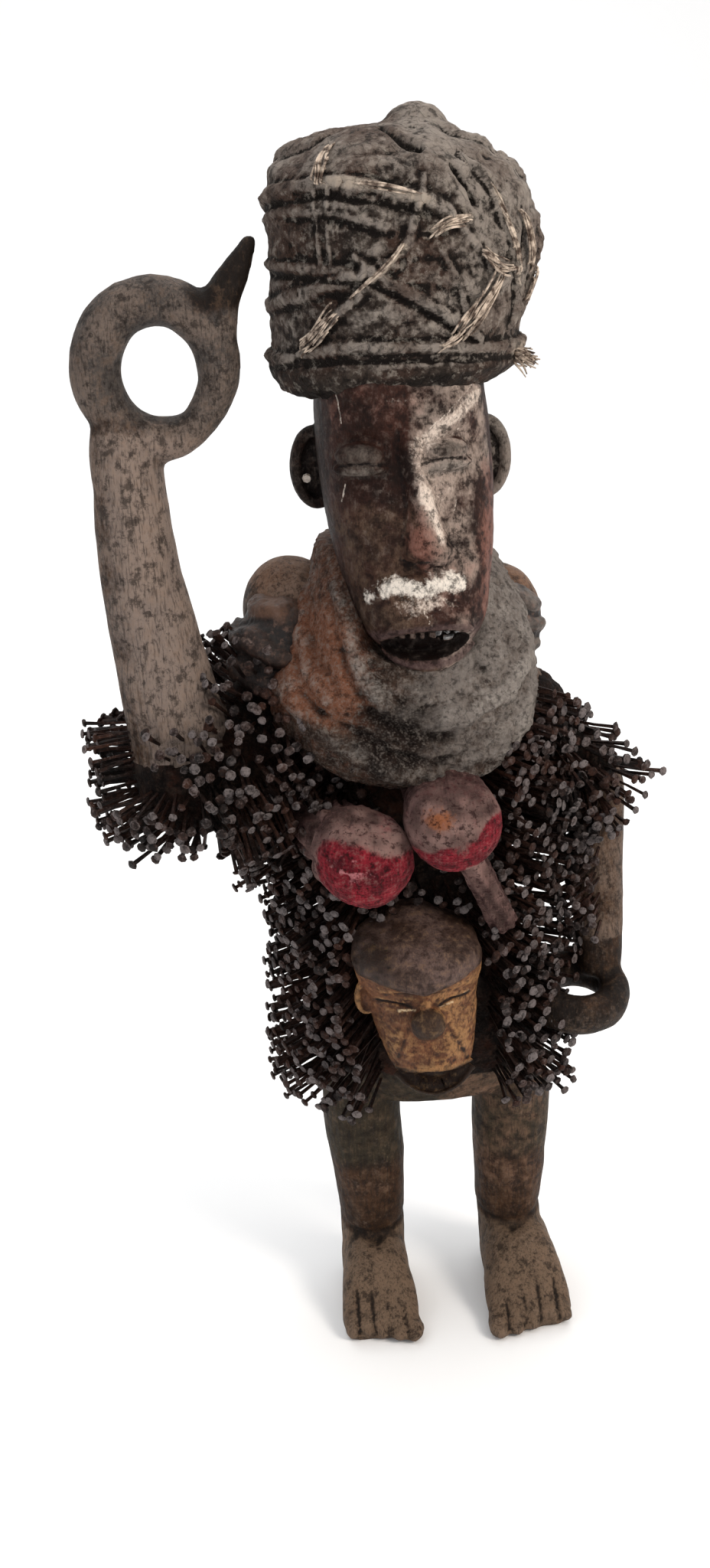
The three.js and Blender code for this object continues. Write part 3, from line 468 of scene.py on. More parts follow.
def weathered(tree, place, colour, size, dark, light, darkTone, lightTone):
    # dirt in the pits and rubbing on the crumbs, in patches from size mm down to a fraction of one
    noise = addNode(tree, "TexNoise", {
        "Vector": place, "Scale": 1000 / size, "Detail": 8.0, "Roughness": 0.74,
    })
    for tint, start, full, tone in ((dark, 0.49, 0.4, darkTone), (light, 0.53, 0.63, lightTone)):
        amount = addNode(tree, "MapRange", {
            "Value": noise.outputs["Fac"], "From Min": start, "From Max": full, "To Max": tone,
        })
        colour = addNode(tree, "Mix", {0: amount.outputs[0], 6: colour, 7: tint}, data_type="RGBA").outputs[2]
    return colour, noise.outputs["Fac"]


def stretched(tree, x, y, z):
    place = addNode(tree, "TexCoord").outputs["Object"]
    return addNode(tree, "Mapping", {"Vector": place, "Scale": (x, y, z)}).outputs[0]


def waveScale(spacing):
    # scale of a wave texture with crests spacing mm apart
    return 1000 / spacing / 6.28


def roughBump(tree, shader, reliefs, roughness):
    # reliefs are (height socket, depth in mm); roughness is (socket, lowest, highest)
    normal = None
    for height, depth in reliefs:
        sockets = {"Height": height, "Distance": depth * mm, "Strength": 1.0}
        if normal:
            sockets["Normal"] = normal
        normal = addNode(tree, "Bump", sockets).outputs[0]
    tree.links.new(normal, shader.inputs["Normal"])
    value, low, high = roughness
    spread = addNode(tree, "MapRange", {
        "Value": value, "From Min": 0.3, "From Max": 0.7, "To Min": low, "To Max": high,
    })
    tree.links.new(spread.outputs[0], shader.inputs["Roughness"])


# Carved hardwood, cut with an adze, smoked and handled for years: dark and dull, paler where it is rubbed
def adzedWood(name, look):
    # sizes and depths of a look are in mm, its tones go from 0 to 1
    material, tree, shader = newMaterial(name, {"IOR": 1.5, "Specular IOR Level": look["shine"]})
    place = stretched(tree, 1, 1, 1)
    fibre = stretched(tree, 1, 1, look["fibreRun"])  # wood fibres run up the block
    base = mottled(tree, place, look["dark"], look["light"], 30)
    colour = layeredColour(tree, place, base, look["layers"])
    # pores and short tool marks along the fibres, 1 to 2 mm wide
    grain = addNode(tree, "TexNoise", {
        "Vector": fibre, "Scale": 1000 / look["grain"], "Detail": 5.0, "Roughness": 0.7,
    })
    for tint, start, full, tone in ((look["pore"], 0.5, 0.38, 1), (look["fibre"], 0.54, 0.7, look["pale"])):
        streak = addNode(tree, "MapRange", {
            "Value": grain.outputs["Fac"], "From Min": start, "From Max": full,
            "To Max": look["grainTone"] * tone,
        })
        colour = addNode(tree, "Mix", {0: streak.outputs[0], 6: colour, 7: tint}, data_type="RGBA").outputs[2]
    colour, dirt = weathered(tree, place, colour, look["dirtSize"], look["pore"], look["fibre"], look["dirt"],
                             look["dirt"] * look["pale"])
    tree.links.new(colour, shader.inputs["Base Color"])
    # adze cuts, about twice as long as they are wide
    cutPlace = stretched(tree, 1, 1, 0.45)
    cuts = addNode(tree, "TexVoronoi", {"Vector": cutPlace, "Scale": 1000 / look["cutSize"]})
    grain = grain.outputs["Fac"]
    reliefs = [(cuts.outputs["Distance"], look["cutDepth"]), (grain, 0.8), (dirt, look["pitDepth"])]
    roughBump(tree, shader, reliefs, (grain, *look["roughness"]))
    return material


# Body: trunk, legs, feet and arms, cut from one block
body = {
    "middleX": 7, "hipZ": 200, "hipToShoulder": 390, "shoulderZ": 590,
    "hipWidth": 172, "waistWidth": 148, "shoulderWidth": 176, "trunkDepth": 112,
    "legSpacing": 119, "legTop": 64, "ankle": 52, "instep": 60, "toeHeight": 17,
    "foot": {-1: (130, 64), 1: (136, 70)},  # length and width of the right and left foot
    "heelY": 32,
    "rightUpperArm": 118, "rightForearm": 252, "rightElbow": 78, "rightWrist": 52, "armBow": 8,
    "rightRing": 118, "rightRingThick": 33, "thumb": 52,
    "leftUpperArm": 118, "leftForearm": 132, "leftElbow": 46, "leftWrist": 38,
    "leftRing": 84, "leftRingThick": 30,
    "voxel": 3.05,
}
middleX, hipZ, shoulderZ = body["middleX"], body["hipZ"], body["shoulderZ"]
chestX = middleX - 16  # the chest leans over to the right of the figure


def bodyHeight(share):
    return hipZ + body["hipToShoulder"] * share


def trunkLimb():
    hips, waist = body["hipWidth"], body["waistWidth"]
    shoulders, depth = body["shoulderWidth"], body["trunkDepth"]
    return {"level": True, "boxy": 2.3, "stations": [
        [middleX + 2, 2, hipZ - 10, hips * 0.36, depth * 0.34],
        [middleX + 2, 0, bodyHeight(0.06), hips / 2, depth * 0.49],
        [middleX, -4, bodyHeight(0.2), hips * 0.47, depth * 0.54],
        [middleX - 5, -6, bodyHeight(0.36), waist / 2, depth * 0.54],
        [middleX - 9, -2, bodyHeight(0.54), waist / 2, depth * 0.5],
        [middleX - 13, 4, bodyHeight(0.76), shoulders * 0.46, depth * 0.46],
        [chestX, 8, bodyHeight(0.94), shoulders / 2, depth * 0.43],
        [middleX - 13, 9, bodyHeight(1.06), shoulders * 0.38, depth * 0.38],
        [middleX - 9, 8, bodyHeight(1.15), 42, 38.6],
    ]}


def legLimb(hand):
    x = middleX + hand * body["legSpacing"] / 2
    top, low = body["legTop"] / 2, body["ankle"] / 2
    calf = (top + low) / 2 + 1
    return {"boxy": 2.2, "stations": [
        [x, 6, 8, low, low * 0.96],
        [x - hand, 3, hipZ * 0.32, low + 1, low * 1.08],
        [x, 0, hipZ * 0.58, calf, calf * 1.04],
        [x + hand * 3, 0, hipZ * 0.9, top, top],
        [x, 0, hipZ * 1.25, top * 0.85, top * 0.9],
    ]}


def footLimb(hand):
    length, width = body["foot"][hand]
    x = middleX + hand * body["legSpacing"] / 2
    splay = 6 if hand > 0 else 0
    instep, toe = body["instep"], body["toeHeight"]
    # share of the length from the heel, share of the width, and height
    shape = [
        (0, 0.5, instep * 0.6), (0.2, 0.82, instep * 0.97), (0.45, 0.88, instep), (0.7, 1, toe * 2),
        (0.9, 0.93, toe),
    ]
    return {"boxy": 2.3, "stations": [
        [x + splay * share, body["heelY"] - length * share, high * 0.42, width / 2 * wide, high * 0.58]
        for share, wide, high in shape
    ]}


def toePlaces(hand):
    length, width = body["foot"][hand]
    baseX = limbFrame(footLimb(hand), np.array(0.86))[0][0]
    places = []
    for i in range(5):
        share = i / 4  # 0 is the big toe, on the inner side
        tipY = body["heelY"] - length * (1 - 0.15 * share ** 1.6)
        places.append((baseX + hand * width * (share - 0.5) * 0.8, tipY, width * (0.14 if i == 0 else 0.105)))
    return places


rightShoulder = np.array([chestX - body["shoulderWidth"] * 0.38, 4, shoulderZ - 52])
rightElbow = rightShoulder + unit([-0.8, -0.3, -0.52]) * body["rightUpperArm"]
rightWrist = rightElbow + unit([-0.083, 0, 1]) * body["rightForearm"]
rightRing = rightWrist + np.array([0.2, 0, 0.49]) * body["rightRing"]
leftShoulder = np.array([chestX + body["shoulderWidth"] * 0.44, 5, shoulderZ - 56])
leftElbow = leftShoulder + unit([0.63, -0.02, -0.78]) * body["leftUpperArm"]
leftWrist = leftElbow + unit([-0.03, -0.26, -0.96]) * body["leftForearm"]
leftRing = leftWrist + np.array([
    -0.25 * body["leftRing"], -0.2 * body["leftRing"], -0.9 * body["leftRingThick"],
])

rightUpperLimb = {"side": (0, 1, 0), "stations": [
    station(between(rightShoulder, rightElbow, share), body["rightElbow"] * wide)
    for share, wide in ((-0.1, 0.3), (0.1, 0.46), (0.55, 0.45), (1, 0.46))
]}


def bowed(share, bow):
    return between(rightElbow, rightWrist, share) - np.array([body["armBow"] * bow, 0, 0])


rightForearmLimb = {"stations": [
    station(between(rightElbow, rightWrist, -0.12), body["rightElbow"] * 0.3),
    station(between(rightElbow, rightWrist, 0.02), body["rightElbow"] * 0.49),
    station(bowed(0.3, 0.5), body["rightElbow"] * 0.45),
    station(bowed(0.65, 1), body["rightElbow"] * 0.19 + body["rightWrist"] * 0.28),
    station(bowed(1, 0.5), body["rightWrist"] * 0.48),
    station(between(rightElbow, rightWrist, 1.09), body["rightWrist"] * 0.46, body["rightRingThick"] * 0.55),
]}
leftUpperLimb = {"side": (0, 1, 0), "stations": [
    station(between(leftShoulder, leftElbow, share), body["leftElbow"] * wide)
    for share, wide in ((-0.1, 0.45), (0.15, 0.62), (0.6, 0.54), (1, 0.5))
]}
leftForearmLimb = {"stations": [
    station(between(leftElbow, leftWrist, -0.14), body["leftElbow"] * 0.36),
    station(between(leftElbow, leftWrist, 0), body["leftElbow"] * 0.5),
    station(between(leftElbow, leftWrist, 0.45), body["leftElbow"] * 0.46),
    station(between(leftElbow, leftWrist, 1), body["leftWrist"] * 0.5),
    station(between(leftElbow, leftWrist, 1.15), body["leftWrist"] * 0.4, body["leftRingThick"] * 0.6),
]}


def thumbLimb():
    thick = body["rightRingThick"]

    def onRing(degrees, share):
        angle = math.radians(degrees)
        return rightRing + np.array([math.cos(angle), 0, math.sin(angle)]) * body["rightRing"] * share

    root = onRing(41, 0.515)
    tip = root + unit([0.5, 0, 0.87]) * body["thumb"]
    return {"stations": [
        station(onRing(-55, 0.36), thick * 0.28, thick * 0.36),
        station(onRing(-22, 0.35), thick * 0.38, thick * 0.5),
        station(onRing(10, 0.37), thick * 0.38, thick * 0.5),
        station(root, thick * 0.42),
        station(between(root, tip, 0.5), thick * 0.31),
        station(tip, thick * 0.14),
    ]}


def nearAngle(angle, degrees, reach):
    return hill(np.sin((angle - math.radians(degrees)) / 2), reach)


def knuckled(angle):
    # the ring is thick over its knuckles, at the upper left, and thin where the palm would be
    return 1 + 0.15 * nearAngle(angle, 150, 0.45) - 0.28 * nearAngle(angle, -43, 0.3)


def bodyForms():
    neck = {"stations": [
        [middleX - 10, 8, shoulderZ - 10, 42, 40.3],
        [-1, 4, 620.4, 42, 42],
        [2, 0, 682, 43.7, 46.2],
    ]}
    forms = [limbForm(trunkLimb(), 72, 90), limbForm(neck), limbForm(rightUpperLimb)]
    forms.append(limbForm(rightForearmLimb, 48, 80))
    forms += [limbForm(leftUpperLimb), limbForm(leftForearmLimb), limbForm(thumbLimb())]
    ring, thick = body["rightRing"], body["rightRingThick"]
    forms.append(ringForm(rightRing, ring, ring * 1.08, thick, thick * 1.1, (math.pi / 2, 0, 0), knuckled))
    ring, thick = body["leftRing"], body["leftRingThick"]
    forms.append(ringForm(leftRing, ring, ring * 0.96, thick * 0.86, thick * 1.15, (0.3, 0.05, 0)))
    wide, toe = body["shoulderWidth"], body["toeHeight"]
    for hand in (-1, 1):
        shoulder = (chestX + hand * wide * 0.42, 12, shoulderZ - 5 - hand * 8)
        radii = (wide * 0.22, body["trunkDepth"] * 0.37, wide * 0.26)
        forms.append(ballForm(shoulder, radii, (0, hand * 0.25, 0)))
        forms += [limbForm(legLimb(hand)), limbForm(footLimb(hand))]
        reach = body["foot"][hand][0] * 0.12
        for x, tipY, radius in toePlaces(hand):
            forms.append(ballForm((x, tipY + reach, toe * 0.45), (radius, reach, toe * 0.52)))
    return forms


bodyWood = adzedWood("adzedHardwoodBody", {
    "dark": "#24160c", "light": "#402a1a", "pore": "#120a06", "fibre": "#7c614c", "pale": 0.28, "grain": 1.7,
    "grainTone": 0.6, "fibreRun": 0.14, "dirtSize": 9, "dirt": 0.7, "pitDepth": 0.9, "cutSize": 6.0,
    "cutDepth": 1.1, "roughness": (0.5, 0.8), "shine": 0.15,
    "layers": [
        # mask, colour, patch size in mm, edge softness, strength
        ("dust", "#85766d", 4, 0.36, 0.85),
        ("smoke", "#47423f", 6, 0.34, 0.92),
        ("olive", "#2f2a1f", 18, 0.3, 0.9),
        ("footDust", "#715d4c", 6, 0.35, 0.88),
        ("warm", "#7f604d", 8, 0.3, 0.85),
        # soot, and painted shade in the grooves and hollows
        ("sootAndShade", "#0f0906", 6, 0.3, 0.92),
        ("rubbed", "#8f7c6f", 2.5, 0.22, 0.4),
    ],
})


def carveBody():
    piece = carvedTogether("carvedBody", bodyForms(), body["voxel"], bodyWood, rounds=3)
    points, out = readPoints(piece), normalsOf(piece)
    x, y, z = points.T
    depth = 1.1 * lumps(points, 26, 3, 2) + 0.6 * lumps(points * (1, 1, 0.45), 8, 5, 2)
    groove = 0  # where the carved lines run, to darken them later
    for hand in (-1, 1):
        places = toePlaces(hand)
        # clefts between the toes, then the edges of their nails
        for (xa, ya, _), (xb, yb, _) in zip(places, places[1:]):
            middle, tip = (xa + xb) / 2, (ya + yb) / 2
            cut = hill(x - middle, 1.5) * ramp(-y, -(tip + 27), -(tip + 18)) * ramp(z, 3, 7) * (z < 60)
            groove = np.maximum(groove, cut)
        depth -= 2.2 * groove * (np.sign(x - middleX) == hand)
        for xa, ya, radius in places:
            toenail = hill(x - xa, radius * 0.75) * hill(y - (ya + 6), 4.0) * (z > 9) * (z < 26)
            depth -= 0.8 * toenail
            groove = np.maximum(groove, 0.75 * toenail)
        ankle = middleX + hand * body["legSpacing"] / 2
        # the leg meets the instep in a shallow V
        crease = hill(z - 60 - 0.3 * np.abs(x - ankle + 2 * hand), 3.2) * (np.abs(x - ankle) < 50) * (y < 6)
        depth -= 1.8 * crease
        groove = np.maximum(groove, 0.4 * crease)
    points = points + out * depth[:, None]
    points[:, 2] = np.maximum(points[:, 2], 0)
    writePoints(piece, points)
    low = hollows(piece, 0.5)
    patches = lumps(points, 45, 9, 2)
    # parts of the body that differ in colour, by their place in mm
    arm = np.maximum(ramp(-x, 108, 122) * ramp(z, 455, 480), ramp(z, 640, 650) * ramp(-x, 70, 80))
    fist = arm * ramp(z + 0.3 * (x + 165), 728, 758)
    spike = arm * ramp(z, 812, 836) * ramp(x, -150, -132)
    foot = ramp(68 - z, 0, 10) * ramp(-y, -8, 4)
    shoulder = ramp(z, 560, 590) * (1 - arm)
    forearm = (arm - fist) * (0.3 + 0.7 * ramp(z, 478, 525))
    thigh = ramp(z, 118, 140) * (z < 260)
    shin = ramp(z, 50, 90) * ramp(290 - z, 0, 60) * (x > -110)
    leftFist = (x > 80) * ramp(350 - z, 0, 25) * (z > 240)
    edge = ramp(-out[:, 0], 0.2, 0.95)
    # the forearm's dust is thinner, so it is darker, on its side facing the figure's right, away from the
    # light, and in hollows: painted shade
    dust = (0.72 - 0.5 * edge) * forearm + 0.25 * patches - 0.25 * (low - 0.5)
    setMask(piece, "dust", dust + 0.1 * shoulder)
    setMask(piece, "smoke", 0.8 * (fist - spike) + 0.25 * fist * ramp(z, 800, 850) + 0.1 * patches)
    setMask(piece, "olive", 0.75 * thigh + 0.12 * patches + 0.35 * (x > 90) * (z < 290))
    setMask(piece, "footDust", 0.8 * foot + 0.15 * patches)
    warmth = 0.24 + 0.25 * patches + 0.16 * (x > middleX)
    setMask(piece, "warm", 0.75 * shoulder + 0.2 * patches * (z > 300) + warmth * shin)
    outer = fist * ramp(-x - 215, -12, 8) * ramp(lumps(points, 16, 43), -0.2, 0.3)
    # painted shade: dark in the toe clefts, round the toenails, in the instep creases and in hollows; soot on
    # the spike and fists, and darker bands round the legs at 132 mm and round the wrist
    sootAndShade = 0.6 * groove + 0.4 * ramp(low, 0.6, 1.0) + 0.95 * spike + 0.25 * lumps(points, 24, 21)
    sootAndShade = sootAndShade + 0.25 * hill(z - 132, 10) * (z < 200) + 0.3 * hill(z - 735, 9) * arm
    setMask(piece, "sootAndShade", sootAndShade + 0.3 * outer + 0.6 * leftFist)
    rubbed = 0.45 * ramp(0.5 - low, 0.05, 0.4) + 0.1 + 0.25 * lumps(points, 20, 14)
    setMask(piece, "rubbed", rubbed * (1 - 0.8 * spike) * (1 - 0.5 * (z < 330)))
    return piece


carvedBody = carveBody()
print("body carved", len(carvedBody.data.polygons))


# Head: closed lids, long straight nose, clipped moustache and an open mouth
head = {
    "x": 2, "y": -25, "chinZ": 570, "height": 280, "width": 124, "depth": 148, "lean": -10,
    "eyeX": -4.5, "eyeApart": 29.5, "eye": 0.553, "nose": 0.3, "moustache": 0.25, "mouth": 0.097,
    "earHeight": 62, "earReach": 20,
    "half": [0.1, 0.34, 0.42, 0.47, 0.495, 0.5, 0.485, 0.46, 0.38, 0.06],
    "front": [0.46, 0.53, 0.52, 0.48, 0.45, 0.44, 0.43, 0.4, 0.24, 0.02],
    "back": [-0.22, 0.0, 0.2, 0.36, 0.46, 0.52, 0.54, 0.5, 0.36, 0.05],
    "voxel": 1.5,
    # both ends as (x, z) in mm, and half width
    "scratches": [
        ((-48, 772), (-46, 762), 0.5), ((-46, 762), (-44.5, 748), 0.6), ((-44, 706), (-47, 694), 0.6),
        ((31, 694), (29, 686), 0.9), ((12, 741), (48, 769), 0.6), ((16, 739), (49, 758), 0.5),
        ((26, 735), (48, 748), 0.5), ((10, 694), (17, 672), 0.8), ((3, 622), (8, 611), 0.8),
        ((20, 590), (38, 606), 0.9),
    ],
}


def headPoint(share, angle):
    share, angle = np.broadcast_arrays(np.asarray(share, float), np.asarray(angle, float))
    w, h = head["width"], head["height"]
    power = 2 / np.where(np.cos(angle) > 0, 2.5, 2.1)
    half = smooth(head["half"], share) * w
    front, back = -smooth(head["front"], share) * head["depth"], smooth(head["back"], share) * head["depth"]
    x = signedPower(np.sin(angle), power) * half
    y = (front + back) / 2 + signedPower(np.cos(angle), power) * (front - back) / 2
    side = np.abs(x)
    # eye sockets, brow ridge and chin
    relief = -6 * hill(side - w * 0.25, w * 0.17) * hill((share - head["eye"]) * h, h * 0.07)
    relief += 3 * hill((share - head["eye"] - 0.09) * h, h * 0.03) * hill(side - w * 0.22, w * 0.2)
    relief += 8 * hill(x, w * 0.3) * hill((share - 0.14) * h, h * 0.1)
    facing = np.maximum(np.cos(angle), 0) ** 0.5
    return np.stack([head["x"] + head["lean"] * (share - 0.5) + x, head["y"] + y - relief * facing,
                     head["chinZ"] + share * h], -1)


def earForms(hand):
    centre = np.array([head["x"] + hand * head["width"] * 0.5 - 1, 4, head["chinZ"] + head["height"] * 0.485])
    high, reach = head["earHeight"], head["earReach"]
    plate = ballForm(centre, (reach * 0.86, high * 0.13, high * 0.47), (0, 0, -hand * 0.25))
    # raised rim that runs round the plate like a C, open towards the cheek
    t = np.linspace(-2.2, 2.2, 30)
    bow = np.stack([hand * reach * 0.72 * np.cos(t), -high * 0.1 + 0 * t, high * 0.42 * np.sin(t)], -1)
    rim = centre + bow
    return [plate, limbForm({"stations": [station(p, 4.6, 6.5) for p in rim]}, 16, 60)]


def faceRoll(share, half, high, proud, droop):
    # roll across the face, high and proud in its middle: moustache or lip
    x, y, z = headPoint(share, 0)
    return {"side": (0, 0, 1), "stations": [
        [x + k * half, y + 3 + k * k * half * 0.3, z + droop * k * k, high * (1 - 0.4 * k * k), proud]
        for k in (-1, -0.6, 0, 0.6, 1)
    ]}


def faceTurn(count):
    # angles round a head, closest together at the front, where its face is
    angle = fullTurn(count)
    return angle - 0.45 * np.sin(angle)


def headForms():
    w, h = head["width"], head["height"]
    share = np.linspace(0, 0.86, 90)[:, None]
    forms = [tubeForm(headPoint(share, faceTurn(120)))]
    # wings and ridge of the nose, then its root between the eyes
    nose = []
    for at, wide, deep in ((-0.012, 0.12, 9), (0.02, 0.175, 19), (0.06, 0.14, 18), (0.15, 0.095, 14)):
        skin = headPoint(head["nose"] + at, 0)
        nose.append([skin[0] + 5.5 - at * 12, skin[1] + deep * 0.25, skin[2], w * wide * 0.92, deep])
    for at, wide, deep in ((0, 0.07, 9), (0.08, 0.06, 4)):
        skin = headPoint(head["eye"] + at, 0)
        nose.append([skin[0], skin[1] + deep * 0.25, skin[2], w * wide, deep])
    forms.append(limbForm({"level": True, "boxy": 1.7, "stations": nose}, 48, 60))
    skin = headPoint(head["eye"], 0)
    for hand in (-1, 1):
        # a heavy upper lid over a paler lower one
        for rise, wide, high, proud in ((2.5, 0.135, 0.032, 9), (-6.5, 0.155, 0.02, 8)):
            lid = (head["eyeX"] + hand * head["eyeApart"], skin[1] + 5, skin[2] + rise)
            forms.append(ballForm(lid, (w * wide, proud, h * high), (0, 0, hand * 0.2)))
        forms += earForms(hand)
    forms.append(limbForm(faceRoll(head["moustache"], w * 0.25, h * 0.028, 7, -6)))
    forms.append(limbForm(faceRoll(head["mouth"] + 0.066, w * 0.25, h * 0.02, 6, -12)))
    forms.append(limbForm(faceRoll(head["mouth"] - 0.068, w * 0.24, h * 0.02, 7, 14)))
    return forms


headWood = adzedWood("polishedHardwoodFace", {
    "dark": "#180a06", "light": "#3a2018", "pore": "#130704", "fibre": "#b3a195", "pale": 0.12, "grain": 1.2,
    "grainTone": 0.4, "fibreRun": 0.3, "dirtSize": 7, "dirt": 0.75, "pitDepth": 0.8, "cutSize": 5.0,
    "cutDepth": 0.25, "roughness": (0.4, 0.7), "shine": 0.12,
    "layers": [
        ("olive", "#6e5847", 9, 0.35, 0.75),
        ("tan", "#aa988c", 7, 0.34, 0.9),
        ("red", "#805549", 7, 0.32, 0.8),
        ("lidGrey", "#4a423c", 4, 0.3, 0.9),
        ("ashen", "#7f766e", 4, 0.3, 0.85),
        ("rubbed", "#e3d2c4", 2.6, 0.22, 0.9),
        ("scratch", "#e6d8ca", 1.2, 0.2, 0.85),
        ("chalk", "#e9dfd3", 3, 0.16, 0.97),
        ("lips", "#4e3c3a", 5, 0.3, 0.85),
        ("tooth", "#6a5a52", 2, 0.2, 0.9),
        ("shard", "#a7a6a6", 2.5, 0.15, 0.95),
        ("dark", "#080303", 2.5, 0.2, 0.97),
    ],
})


def lineMask(x, z, start, end, width):
    # 1 along a straight stroke across the face
    start, end = np.array(start, float), np.array(end, float)
    way = end - start
    offX, offZ = x - start[0], z - start[1]
    t = np.clip((offX * way[0] + offZ * way[1]) / (way @ way), 0, 1)
    return hill(np.hypot(offX - t * way[0], offZ - t * way[1]), width)


def carveHead():
    piece = carvedTogether("carvedHead", headForms(), head["voxel"], headWood, rounds=2)
    points, out = readPoints(piece), normalsOf(piece)
    x, y, z = points.T
    facing = ramp(-out[:, 1], 0.1, 0.5) * (y < -55)
    eyeZ = head["chinZ"] + head["eye"] * head["height"]
    mouthZ = head["chinZ"] + head["mouth"] * head["height"]
    depth = 0.6 * lumps(points, 22, 3, 2) + 0.25 * lumps(points, 5, 6, 2)
    # closed eyes: the slit and both lids
    slits, upper, lower = 0, 0, 0
    for hand in (-1, 1):
        centre = head["eyeX"] + hand * head["eyeApart"]
        inner = ramp(21 - np.abs(x - centre), 0, 6)
        edge = eyeZ - 2.5 - 0.008 * (x - centre) ** 2
        slit = hill(z - edge, 1.3) * inner * facing
        depth -= 1.1 * slit
        slits = np.maximum(slits, slit)
        upper = np.maximum(upper, ovalPatch(x, z, (centre, edge + 6.5), (20, 8.5)) * facing)
        lower = np.maximum(lower, ovalPatch(x, z, (centre, edge - 6.5), (21, 6.5)) * facing)
    # mouth cut deep between the lips: old teeth on its right, bright shards on its left
    oval = np.hypot((x - 4.5) / 32, (z - mouthZ - 0.035 * (x - 4.5)) / np.where(z > mouthZ, 10.5, 14.0))
    mouth = ramp(1.08 - oval, 0, 0.22) * (y < -70) * ramp(-out[:, 1], -0.3, 0.2)
    bite = ramp(np.sin((x + 0.15 * z) * 2 * math.pi / 7), -0.5, 0.1)
    teeth = mouth * bite * (x < 14) * hill((z - mouthZ - 5) / 4, 1) * ramp(1 - oval, 0.0, 0.2)
    shards = mouth * (np.abs(lumps(points, 8, 23)) > 0.15) * ovalPatch(x, z, (20, mouthZ + 6), (10, 8))
    inward = np.zeros_like(points)
    inward[:, 1] = 17 * mouth * ramp(1.05 - oval, 0, 0.4) * (1 - 0.45 * teeth - 0.6 * shards)
    # the line round the wings of the nose and the groove beside it
    under = ovalPatch(x, z, (6, 654), (13, 4)) * (y < -88)
    wing = hill(np.hypot((x - 19) / 7, (z - 661) / 6) - 1, 0.3) * facing * (x > 22)
    depth -= 2.2 * under + 1.0 * wing
    for start, stop in (((-14, 668), (-30, 640)), ((27, 668), (36, 642))):
        depth -= 1.0 * lineMask(x, z, start, stop, 3.4) * facing
    points = points + out * depth[:, None] + inward
    writePoints(piece, points)
    low = hollows(piece, 0.4)
    patches = lumps(points, 26, 9, 2)
    fine = lumps(points, 9, 17, 2)
    # the left half of the face is paler tan and the right half dark and olive: partly the wood's own worn
    # colour, partly painted light on the lit left side and painted shade on the right
    across = x + 0.07 * (z - 700)
    pale = ramp(across, -3, 12) * (y < 20)
    shade = ramp(0.5 - np.abs(x - 4 + 0.1 * (z - 690)) / 90, 0.0, 0.5)
    olive = facing * (1 - pale) * (0.42 * ramp(705 - z, 0, 25) + 0.2 * patches)
    setMask(piece, "olive", olive + 0.2 * (x > 62))
    tan = facing * pale * (0.52 + 0.34 * patches + 0.26 * fine - 0.07 * ramp(715 - z, 0, 40))
    # a paler tan stripe down the nose: painted highlight
    tan = tan + 0.3 * ovalPatch(x, z, (8, 705), (14, 42)) * facing
    tan = tan - 0.5 * ramp(x, 40, 52) * ramp(720 - z, 0, 30) - 0.3 * hill((z - 622) / 14, 1)
    setMask(piece, "tan", tan + 0.2 * ovalPatch(x, z, (-25, 690), (14, 24)) * facing)
    noseTip = ovalPatch(x, z, (3, 672), (10, 22)) * (y < -95)
    cheek = ramp(x, 42, 54) * ramp(730 - z, 0, 20) * (z > 600) * (y < 0)
    brow = hill(z - 758, 16) * (x < 12) * facing
    red = 0.7 * noseTip + 0.4 * cheek + 0.3 * brow + 0.25 * fine + 0.25 * pale * ramp(700 - z, 0, 40)
    setMask(piece, "red", red)
    ears = ramp(np.abs(x - 2), 58, 64)
    lids = 0.75 * upper + 0.55 * lower * (x < 0)
    setMask(piece, "lidGrey", lids + 0.5 * ears * (x < 0) + 0.25 * facing * (z > 755))
    ashen = 0.35 * upper * (x > 0) + 0.85 * lower * (x > 0) + 0.5 * lower * (x < 0)
    setMask(piece, "ashen", ashen + 0.7 * ears * (x > 0) + 0.1 * ears + 0.2 * fine * pale)
    # rubbed mask: worn pale streaks across the brow, painted highlights along the nose's ridge and lit flank,
    # and pale patches over the upper lip and beside the nose
    streak = lineMask(x, z, (13, 737), (50, 760), 7.5) + 0.65 * lineMask(x, z, (-14, 763), (20, 763), 3)
    noseHighlight = lineMask(x, z, (9, 700), (19, 668), 3.5) * (y < -92) + 0.5 * lineMask(x, z, (2, 735), (7, 700), 7)
    around = 0.55 * ovalPatch(x, z, (8, 626), (30, 10)) + 0.35 * ovalPatch(x, z, (26, 700), (20, 16))
    rubbed = 0.62 * streak + 0.6 * noseHighlight + around * (0.75 + 0.5 * fine) + 0.2 * patches
    setMask(piece, "rubbed", rubbed * facing)
    scratched = sum(lineMask(x, z, start, stop, width) for start, stop, width in head["scratches"])
    setMask(piece, "scratch", (0.62 + 0.4 * fine) * np.minimum(scratched, 1) * facing)
    # the moustache is brushed with chalk
    brush = 639.5 - 0.0035 * (x - 6) ** 2 - 3.0 * ramp(-x, 20, 34) + 2.0 * fine
    brush = brush - 4 * hill(x - 4, 7)
    band = ramp(38.5 - np.abs(x + 1), 0, 5) * hill((z - brush) / (8.6 + 2.5 * lumps(points, 7, 66)), 1)
    setMask(piece, "chalk", band * facing * (0.66 + 0.45 * fine - 0.12 * ramp(-x, 15, 30)) * (y < -80))
    lips = hill((oval - 1.22) / 0.3, 1) * facing * (z < 622)
    setMask(piece, "lips", 0.85 * lips)
    setMask(piece, "tooth", 0.9 * teeth)
    setMask(piece, "shard", 0.95 * ramp(shards, 0.3, 0.6))
    inside = ramp(mouth, 0.3, 0.8) * (1 - 0.9 * ramp(teeth, 0.3, 0.7)) * (1 - ramp(shards, 0.25, 0.5))
